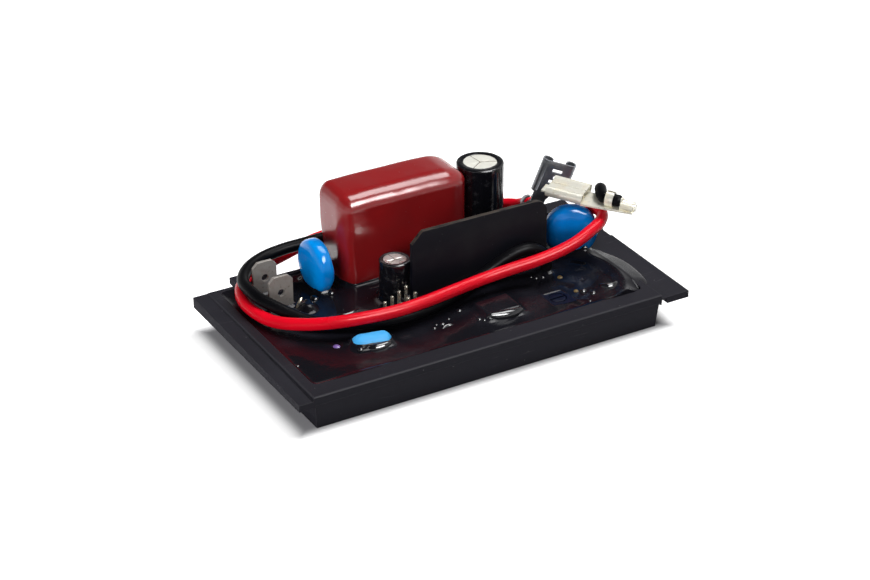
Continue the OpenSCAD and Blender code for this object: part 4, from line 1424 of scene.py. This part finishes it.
@dataclass
class CanCapacitor:
    """Aluminium can in a shrunk film sleeve that folds over the edge of its top."""

    name: str
    x: float
    y: float
    radius: float
    top: float
    lip: float = 0.9
    metal: str = "can_aluminium"
    crinkle: float = 0.05
    scores: tuple[float, ...] = (95.0, 215.0, 335.0)  # degrees
    score_r: float = 0.1
    film: float = 0.15
    roll: float = 0.42
    fold: float = 0.075
    shrunk: float = 0.012
    sides: int = 96
    seed: int = 1

    def build(self, maker: Maker) -> None:
        """Dresses the can, its sleeve, the scores of its vent and its bung.

        Args:
            maker: Puts the pieces on the frame.
        """
        profile = self._section()
        points, faces = turned(profile, self.sides, self._wrinkles(profile))
        shape = Shape().add(points + [self.x, self.y, -self.shrunk], faces)
        sleeve = shape.build(f"{self.name}_sleeve_film")
        maker.place(sleeve, "shrink_sleeve", f"{self.name}_sleeve")
        can = maker.eased(f"{self.name}_can", self.metal, 0.04, 1)
        top = max(corner[2] for corner in can.bound_box) / MM
        # Scores of the vent: thin dark tubes, painted shade for the grooves.
        scores = Shape()
        for turn in np.radians(self.scores):
            far = np.linspace(0, self.radius - self.lip - 0.25, 6)[:, None]
            line = far * [np.cos(turn), np.sin(turn), 0] + [self.x, self.y, top - 0.04]
            scores.add(*tube(line, self.score_r, 8))
        maker.place(scores.build(f"{self.name}_scores"), "can_aluminium.score_shade")
        maker.keep(f"{self.name}_bung", "bung_rubber")

    def _section(self) -> np.ndarray:
        """Section of the film: up the wall, over the rolled edge, round the lip's fold, and
        back down inside.

        Returns:
            Radius and height of each ring.
        """
        outer, inner, rolled = self.radius - 0.01, self.radius - self.film, self.top - self.roll
        wall = np.stack([np.full(24, outer), np.linspace(BOARD_TOP, rolled, 24)], -1)
        lip_top = arc((outer - self.roll, rolled), self.roll, 0, 90, 9)[1:]
        fold_at = (self.radius - self.lip - 0.06, self.top - self.fold)
        lip_in = arc(fold_at, self.fold, 90, 270, 7)
        under = arc((inner - self.roll, rolled - self.film), self.roll, 90, 0, 6)
        return np.concatenate([wall, lip_top, lip_in, under, [[inner, BOARD_TOP]], wall[:1]])

    def _wrinkles(self, profile: np.ndarray) -> np.ndarray:
        """Wobble of the radius: sums of sines of the angle, fine folds only near the top and
        slow ones on the lip.

        Args:
            profile: Radius and height of each ring.

        Returns:
            Addition to the radius, ring by side.
        """
        angle = np.linspace(0, 2 * np.pi, self.sides, endpoint=False)
        draw = np.random.default_rng(self.seed)
        folds = sum(
            np.sin(n * angle + draw.uniform(0, 6.3)) * draw.uniform(0.4, 1) for n in (9, 13, 17, 22)
        )
        slow = sum(np.sin(n * angle + draw.uniform(0, 6.3)) for n in (2, 3, 5)) / 3
        radius, height = profile[:, :1], profile[:, 1:]
        near_top = step(height, self.top - 2.2, self.top)
        on_lip = step(radius, self.radius - 0.5, self.radius - 0.9)
        wall = -self.crinkle * near_top * (1 + folds / 2.4) / 2 - self.shrunk * (1 + slow)
        return wall + 0.07 * slow * on_lip


@dataclass
class Varistor:
    """Dipped disc whose coat runs down both legs."""

    name: str
    x: float
    y: float
    z: float
    turn: float
    seed: int
    radius: float = 6.85
    thick: float = 5.2
    power: float = 3.4
    room: float = 0.03  # by which the smooth disc is smaller than its full size
    leg_gap: float = 7.5
    skirt_top: float = -2.6
    coat: str = "blue_coating"

    def build(self, maker: Maker) -> None:
        """Turns a soft-edged disc, (r / radius)^3.4 + (w / half)^3.4 = 1 in section, dents it,
        and lets its coat run down both legs.

        Args:
            maker: Puts the piece on the frame.
        """
        swing = np.linspace(-np.pi / 2, np.pi / 2, 41)
        root = 2 / self.power
        reach = (self.radius - self.room) * np.cos(swing).clip(0) ** root
        across = np.sign(np.sin(swing)) * np.abs(np.sin(swing)) ** root
        width = (self.thick / 2 - self.room) * across
        points, faces = turned(np.stack([reach, width], -1), 96)
        flat = points.reshape(-1, 3)
        disc = np.stack([flat[:, 0], -flat[:, 2], flat[:, 1]], -1)
        outward = unit(disc * np.array([1, 3, 1]))
        coarse, fine = bump_field(disc, 6.0, self.seed), bump_field(disc, 2.4, self.seed + 1)
        disc = disc - outward * (np.abs(coarse * 0.09 + fine * 0.015) + 0.01)[:, None]
        off_leg = np.abs(disc[:, 0]) - self.leg_gap / 2
        disc[:, 1] *= 1 - 0.12 * step(disc[:, 2], -2.0, -6.0) * np.exp(-(off_leg**2) / 2)
        shape = Shape().add(disc, faces)
        height = np.linspace(BOARD_TOP - self.z, self.skirt_top, 12)
        skirt = 0.4 + 1.1 * step(height, -self.radius - 0.4, self.skirt_top)
        ends = [[[0, height[0]]], np.stack([skirt, height], -1), [[0, height[-1]]]]
        leg, leg_faces = turned(np.concatenate(ends), 20)
        for side in (-1, 1):
            shape.add(leg + [side * self.leg_gap / 2, 0, 0], leg_faces)
        shape.points = [spun(p, self.turn) + [self.x, self.y, self.z] for p in shape.points]
        maker.place(shape.build(f"{self.name}_disc"), self.coat, self.name)


@dataclass
class DippedBeads:
    """Small pale blue capacitor, half drowned in the resin, and purple bead, nearly all."""

    blue: Point = (-24.1, -12.5, 9.15)
    blue_half: Point = (5.1, 2.5, 2.4)
    blue_round: float = 2.25
    blue_turn: float = -11.0
    bead: Point = (-32.0, -10.1, 7.98)
    bead_r: float = 1.57
    leg_r: float = 0.3

    def build(self, maker: Maker) -> None:
        """Builds a rounded block and a bead, each lumpy, with legs under it.

        Args:
            maker: Puts the pieces on the frame.
        """
        radii = np.full(3, self.blue_round)
        points, faces = rounded_box(np.array(self.blue_half), radii, radii, (26, 3, 3), 9)
        lumps = bump_field(points, 3.2, 21) * 0.05 + bump_field(points, 1.3, 22) * 0.012
        points = points * (0.985 - np.abs(lumps) / 2.2)[:, None]
        points[:, 2] -= 0.16 * step(np.abs(points[:, 0] - 0.4), 2.2, 4.7)
        shape = Shape().add(spun(points, self.blue_turn) + np.array(self.blue), faces)
        self._legs(shape, self.blue, 5.0)
        maker.place(shape.build("blue_capacitor_body"), "pale_blue_coating", "blue_capacitor")
        profile = arc((0, 0), self.bead_r, -90, 90, 21)
        profile[:, 0] = profile[:, 0].clip(0)
        points, faces = turned(profile, 32)
        lumps = 1 - np.abs(bump_field(points, 1.8, 23))[..., None] * 0.02
        shape = Shape().add(points * lumps + np.array(self.bead), faces)
        self._legs(shape, self.bead, 1.6)
        maker.place(shape.build("bead_capacitor_body"), "purple_coating", "bead_capacitor")

    def _legs(self, shape: Shape, centre: Point, gap: float) -> None:
        """Adds two straight wires down to the board.

        Args:
            shape: The shape they join.
            centre: The body's centre.
            gap: Distance between them.
        """
        for side in (-1, 1):
            x, y, top = centre[0] + side * gap / 2, centre[1], centre[2]
            shape.add(*tube(np.array([[x, y, BOARD_TOP], [x, y, top]]), self.leg_r, 10))


@dataclass
class HeatSink:
    """Plate on two bent feet, with the power transistor flat against its back."""

    ease: float = 0.1
    body_ease: float = 0.12

    def build(self, maker: Maker) -> None:
        """Breaks the plate's and the transistor's edges.

        Args:
            maker: Puts the pieces on the frame.
        """
        maker.eased("heat_sink", "black_anodised", self.ease)
        maker.eased("power_transistor", "moulding_compound", self.body_ease)


@dataclass
class Terminals:
    """Two push-on tabs, the pin header, and the bare wire end beside the front tab."""

    tab_ease: float = 0.09
    pin_ease: float = 0.06
    tail: tuple[Point, ...] = (
        (-31.9, 10.6, 9.2), (-31.6, 10.5, 10.3), (-31.0, 10.4, 11.2), (-30.5, 10.7, 11.7)
    )
    tail_r: float = 0.32

    def build(self, maker: Maker) -> None:
        """Breaks the tabs' and pins' edges and lays the wire end.

        Args:
            maker: Puts the pieces on the frame.
        """
        for node in ("rear_blade", "front_blade"):
            maker.eased(node, "dull_tin", self.tab_ease)
        maker.eased("header_pins", "bright_tin", self.pin_ease)
        maker.eased("header_base", "moulding_compound", 0.1)
        path = smooth_route(np.array(self.tail), 6)
        maker.place(Shape().add(*tube(path, self.tail_r, 12)).build("wire_end"), "bright_tin")


@dataclass
class BoardParts:
    """Low parts that the resin nearly covers."""

    bridge_ease: float = 0.22
    trimmer_ease: float = 0.12

    def build(self, maker: Maker) -> None:
        """Breaks the edges of what shows and finishes what lies deeper.

        Args:
            maker: Puts the pieces on the frame.
        """
        maker.eased("bridge_rectifier", "moulding_compound", self.bridge_ease, 3)
        maker.eased("trimmer", "trimmer_blue", self.trimmer_ease)
        maker.keep("control_chip", "moulding_compound")
        maker.keep("rectifier_diodes", "moulding_compound")
        maker.keep("resistors", "resistor_coating")


@dataclass(frozen=True)
class Softbox:
    """Area lamp that looks at a point from a direction."""

    name: str
    way: Point
    far: float
    size: Flat
    power: float
    gloss_only: bool = False
    seen_in_gloss: bool = True

    def build(self, aim: np.ndarray) -> None:
        """Hangs the lamp.

        Args:
            aim: Point that it looks at, in metres.
        """
        lamp = bpy.data.lights.new(self.name, "AREA")
        lamp.shape = "RECTANGLE"
        lamp.size, lamp.size_y = self.size
        lamp.energy = self.power
        hung = bpy.data.objects.new(self.name, lamp)
        hung.visible_diffuse = not self.gloss_only
        hung.visible_glossy = self.seen_in_gloss
        back = unit(np.array(self.way))
        hung.matrix_world = pose(back, aim + back * self.far)
        bpy.context.scene.collection.objects.link(hung)


@dataclass
class Studio:
    """Camera at the photograph's angle, pale floor, soft lamps and a sky, in metres."""

    azimuth: float = -30.118
    elevation: float = 28.763
    distance: float = 0.54797
    target: Point = (0.009745, 0.016543, 0.0)
    focal_px: float = 2180.586
    width_px: float = 870.0
    sensor_mm: float = 36.0
    clip: Flat = (0.01, 20.0)
    aim: Point = (0.0, 0.0, 0.012)
    floor_half: float = 3.0
    floor_z: float = -0.00002
    floor_colour: Colour = (0.3, 0.3, 0.3)
    floor_seen: Colour = (1.0, 1.0, 1.0)
    # Seen colour of the floor near the tray's edge: a painted shadow.
    floor_painted_shadow: Colour = (0.45, 0.445, 0.47)
    floor_lift: float = 0.02
    # Lift from a few millimetres past the tray's edge outwards; nearer it, less, as painted shadow.
    floor_far_lift: float = 0.6
    # Footprint of the tray, and the band about its edge over which the painted shadow fades out.
    tray_half_mm: Flat = (51.0, 28.0)
    fade_mm: Flat = (-3.0, 2.0)
    sky: float = 0.15
    sky_gloss: float = 0.06
    lamps: tuple[Softbox, ...] = (
        Softbox("front_card", (0.14, -0.68, 0.68), 0.75, (0.5, 0.32), 14.0, True),
        Softbox("top_softbox", (0.4, 0.05, 0.9), 0.95, (0.5, 0.5), 8.0),
        Softbox("left_softbox", (-0.8, -0.5, 0.25), 0.9, (0.6, 0.4), 4.4, False, False),
    )

    def build(self) -> None:
        """Builds the camera, the floor, the lamps and the world."""
        self._camera()
        self._floor()
        for lamp in self.lamps:
            lamp.build(np.array(self.aim))
        self._world()
        bpy.context.scene.view_settings.view_transform = "Standard"

    def _camera(self) -> None:
        """Places the camera on the line from its target."""
        turn, rise = np.radians([self.azimuth, self.elevation])
        back = np.array([np.sin(turn) * np.cos(rise), -np.cos(turn) * np.cos(rise), np.sin(rise)])
        lens = bpy.data.cameras.new("camera")
        lens.sensor_fit = "HORIZONTAL"
        lens.sensor_width = self.sensor_mm
        lens.lens = self.sensor_mm * self.focal_px / self.width_px
        lens.clip_start, lens.clip_end = self.clip
        camera = bpy.data.objects.new("camera", lens)
        camera.matrix_world = pose(back, np.array(self.target) + back * self.distance)
        bpy.context.scene.collection.objects.link(camera)
        bpy.context.scene.camera = camera

    def _floor(self) -> None:
        """Lays the floor, whose lit colour is lifted to white where the camera, a gloss or a clear
        piece sees it, and whose shadow stays. Close to the tray's edge the seen colour is darker
        and the lift smaller: a painted shadow."""
        ends = np.array([[-1, -1, 0], [1, -1, 0], [1, 1, 0], [-1, 1, 0]]) * self.floor_half
        corners = (ends + [0, 0, self.floor_z]) / MM
        floor = Shape().add(corners, [[0, 1, 2, 3]]).build("floor")
        tree = Tree("floor_paper")
        camera, gloss, clear = tree.rays("Camera", "Glossy", "Transmission")
        seen = camera.most(gloss).most(clear)
        beyond_x = tree.along("X").size() - self.tray_half_mm[0]
        beyond_y = tree.along("Y").size() - self.tray_half_mm[1]
        # Painted shadow: near the tray's edge the seen colour is darker and the lift smaller.
        far = beyond_x.most(beyond_y).above(*self.fade_mm)
        raised = self.floor_lift + far * self.floor_far_lift
        lift = tree.node("ShaderNodeEmission", {}, {"Strength": seen * raised})
        painted_shadow_colour = tree.blend(far, self.floor_painted_shadow, self.floor_seen)
        colour = tree.blend(seen, self.floor_colour, painted_shadow_colour)
        paper = tree.node("ShaderNodeBsdfDiffuse", {}, {"Color": colour, "Roughness": 0.6})
        both = tree.node("ShaderNodeAddShader", {}, {0: paper, 1: lift})
        tree.node("ShaderNodeOutputMaterial", {}, {"Surface": both})
        floor.data.materials.append(tree.material)

    def _world(self) -> None:
        """Hangs the sky: white to the camera, plain light to the rest, and to a gloss dark
        overhead, white near the horizon and high up on the right, as the studio's paper is."""
        tree = Tree("studio_sky", sky=True)
        east, height = tree.axis(tree.place, "X"), tree.axis(tree.place, "Z")
        camera, gloss = tree.rays("Camera", "Glossy")
        white = height.above(0.44, 0.24).most(east.above(0.52, 0.6) * height.above(0.8, 0.6))
        paper = self.sky_gloss + white * (1 - self.sky_gloss)
        strength = self.sky + gloss * (paper - self.sky)
        strength = strength + camera * (1.0 - strength)
        light = tree.node("ShaderNodeBackground", {}, {"Strength": strength})
        tree.node("ShaderNodeOutputWorld", {}, {"Surface": light})
        bpy.context.scene.world = tree.material


FINISHES: tuple[Finish, ...] = (
    MouldedTray("tray_plastic", (0.019, 0.0183, 0.0242)),
    CastResin("casting_resin", (0.007, 0.0068, 0.01), (0.018, 0.0175, 0.024)),
    CastResin("casting_resin.drop", (0.007, 0.0068, 0.01), roughness=0.05, specular=0.7),
    CastResin("casting_resin.amber", (0.2, 0.14, 0.06), (0.12, 0.07, 0.02), roughness=0.15),
    CoatedGlass("board_laminate", (0.03, 0.16, 0.07)),
    DippedCoat(
        "red_dip", (0.34, 0.012, 0.014), (0.27, 0.012, 0.014),
        peel_mm=0.02, peel_per_mm=0.4, roughness=0.17, uneven=0.09, darkening=0.6,
    ),
    DrawnCan("can_aluminium", (0.66, 0.64, 0.61)),
    # Satin copy of the aluminium for the tall can, paler: the two copies differ in colour as
    # painted light, this top lit and the small can's shaded.
    DrawnCan(
        "can_aluminium.satin_lit", (0.84, 0.83, 0.75), (0.72, 0.71, 0.66), metallic=0.2, roughness=0.5
    ),
    # Dark colour of the vent's scores: painted shade in the scored grooves.
    DrawnCan(
        "can_aluminium.score_shade", (0.12, 0.09, 0.06), (0.2, 0.17, 0.13), metallic=0.3, roughness=0.5
    ),
    ShrunkFilm("shrink_sleeve", (0.006, 0.006, 0.0085)),
    MouldedCompound("bung_rubber", (0.02, 0.02, 0.02), roughness=0.6),
    DippedCoat(
        "blue_coating", (0.0, 0.34, 1.0), (0.0, 0.26, 0.9),
        peel_mm=0.03, peel_per_mm=0.8, roughness=0.12, darkening=0.5, specular=0.26, coat=0.0,
    ),
    # Shaded copy of the blue coat for the right disc: darker, with its lower half darkened, as
    # painted shade.
    DippedCoat(
        "blue_coating.shaded", (0.0, 0.3, 0.95), (0.0, 0.2, 0.7),
        peel_mm=0.03, peel_per_mm=0.8, roughness=0.12, darkening_z=16.5, darkening=0.62, specular=0.3,
        coat=0.0,
    ),
    DippedCoat(
        "pale_blue_coating", (0.08, 0.5, 1.0), (0.05, 0.42, 0.92),
        peel_mm=0.04, peel_per_mm=1.0, roughness=0.45, darkening_z=8.4, darkening=0.6, specular=0.12,
        coat=0.0,
    ),
    DippedCoat(
        "purple_coating", (0.27, 0.17, 0.5), (0.18, 0.1, 0.36),
        peel_mm=0.02, peel_per_mm=1.4, roughness=0.25, darkening_z=8.2, darkening=0.3,
    ),
    BlackPlate("black_anodised", (0.0042, 0.0044, 0.0085)),
    MouldedCompound("moulding_compound", (0.008, 0.008, 0.009)),
    TinPlate("dull_tin", (0.34, 0.315, 0.29), (0.2, 0.17, 0.15), 0.6, 0.5, metallic=0.35),
    TinPlate("bright_tin", (0.84, 0.79, 0.66), (0.5, 0.37, 0.17), 0.35, 0.24, metallic=0.8),
    TinPlate("bright_tin.shaded", (0.22, 0.23, 0.25), (0.16, 0.15, 0.14), 0.3, 0.42),
    # Paler, less metallic copy of the tin for the black lead's receptacle: painted light on its lit
    # face; its brass stain is its own.
    TinPlate("bright_tin.lit", (0.86, 0.84, 0.74), (0.7, 0.58, 0.34), 0.35, 0.3, metallic=0.3),
    DippedCoat(
        "trimmer_blue", (0.002, 0.005, 0.02), (0.002, 0.004, 0.014),
        peel_per_mm=1.0, roughness=0.4, specular=0.12, coat=0.0,
    ),
    DippedCoat(
        "resistor_coating", (0.5, 0.36, 0.2), (0.42, 0.28, 0.15), peel_per_mm=1.0, roughness=0.35
    ),
    SiliconeCover(
        "red_cover", (0.9, 0.004, 0.02), (0.72, 0.003, 0.015), roughness=0.22, specular=0.12
    ),
    SiliconeCover(
        "black_cover", (0.0035, 0.0035, 0.0045), (0.006, 0.006, 0.008),
        roughness=0.34, specular=0.05,
    ),
)

RED_ROUTE: tuple[Point, ...] = (
    (43.4, 8.0, 9.2), (43.4, 8.0, 12.0), (43.9, 7.4, 15.0), (45.7, 5.4, 17.8), (47.6, 2.0, 19.7),
    (47.2, -1.4, 19.9), (44.6, -4.5, 19.6), (40.4, -6.3, 18.8), (36.0, -7.3, 17.6),
    (31.5, -7.6, 16.6), (25.6, -7.4, 15.6), (17.0, -6.6, 14.6), (9.0, -6.6, 14.0),
    (0.2, -8.0, 14.0), (-8.2, -9.3, 14.0), (-15.4, -9.8, 14.0), (-23.6, -9.0, 14.0),
    (-32.0, -6.0, 13.4), (-37.6, -1.1, 12.3), (-41.3, 5.0, 11.3), (-42.8, 10.8, 11.2),
    (-42.8, 16.8, 11.2), (-40.7, 22.7, 11.2), (-36.7, 27.3, 11.3), (-31.0, 30.4, 11.4),
    (-24.0, 32.2, 12.0), (-16.0, 32.8, 13.6), (-6.0, 32.6, 14.4), (8.0, 32.4, 14.6),
    (19.0, 32.4, 13.6), (27.0, 32.8, 12.1), (33.0, 33.0, 10.9), (37.0, 32.2, 10.4),
    (39.9, 30.5, 10.6), (41.5, 28.0, 11.2), (42.1, 26.2, 12.2), (41.76, 24.1, 13.45),
    (41.06, 22.03, 14.15),
)
BLACK_ROUTE: tuple[Point, ...] = (
    (29.6, -3.6, 9.2), (29.6, -3.6, 12.0), (28.0, -3.4, 15.0), (25.0, -3.1, 16.6),
    (21.6, -2.8, 16.4), (18.0, -2.4, 15.0), (13.4, -2.2, 12.9), (9.0, -2.9, 11.6),
    (4.0, -4.6, 11.0), (-3.0, -7.0, 10.9), (-13.9, -8.2, 10.9), (-22.0, -6.4, 10.9),
    (-29.3, -2.6, 10.9), (-33.8, 0.8, 11.3), (-36.6, 4.2, 12.2), (-39.2, 7.8, 13.3),
    (-41.2, 11.6, 14.1), (-41.6, 16.0, 14.3), (-40.9, 20.8, 14.3), (-37.6, 25.4, 14.5),
    (-32.3, 28.4, 14.8), (-26.5, 29.4, 15.1), (-20.0, 29.2, 15.4), (-13.0, 29.0, 15.6),
    (-4.0, 28.8, 15.4), (8.0, 28.9, 14.4), (20.0, 29.2, 12.6), (28.0, 28.6, 11.6),
    (34.5, 26.0, 10.8), (40.0, 21.0, 10.75), (45.4, 16.4, 11.5), (49.0, 11.8, 15.0),
    (50.6, 7.6, 18.0), (50.8, 5.0, 20.8), (50.0, 3.3, 23.0), (48.2, 1.0, 25.5),
    (46.6, -2.7, 25.2), (49.4, -6.3, 24.8),
)


def main() -> None:
    """Builds the studio and every piece, the leads first."""
    logging.basicConfig(level=logging.INFO, format="%(message)s")
    Studio().build()
    maker = Maker(FINISHES)
    pieces = (
        Lead("red_lead", "red_cover", "red_lead_receptacle", "bright_tin.shaded", RED_ROUTE),
        # Black lead's receptacle in the lit copy of the tin: painted light.
        Lead(
            "black_lead", "black_cover", "black_lead_receptacle", "bright_tin.lit", BLACK_ROUTE,
            flaps=True,
        ),
        Tray(),
        CastPool(),
        ResinDrops(CastPool()),
        FilmCapacitor(),
        # Tall can in the paler copy of the aluminium: painted light on its top.
        CanCapacitor("tall_capacitor", 24.7, 20.0, 6.0, 30.78, 1.6, "can_aluminium.satin_lit", seed=4),
        CanCapacitor("small_capacitor", -8.3, 4.64, 3.9, 19.28, crinkle=0.09, seed=9),
        Varistor("varistor_left", -22.7, 18.0, 15.0, 90.0, 31),
        # Right disc in the shaded copy of the coat: painted shade on its lower half.
        Varistor("varistor_right", 40.2, 1.8, 15.8, -30.0, 41, coat="blue_coating.shaded"),
        DippedBeads(),
        HeatSink(),
        Terminals(),
        BoardParts(),
    )
    for piece in pieces:
        piece.build(maker)


if __name__ == "__main__":
    main()
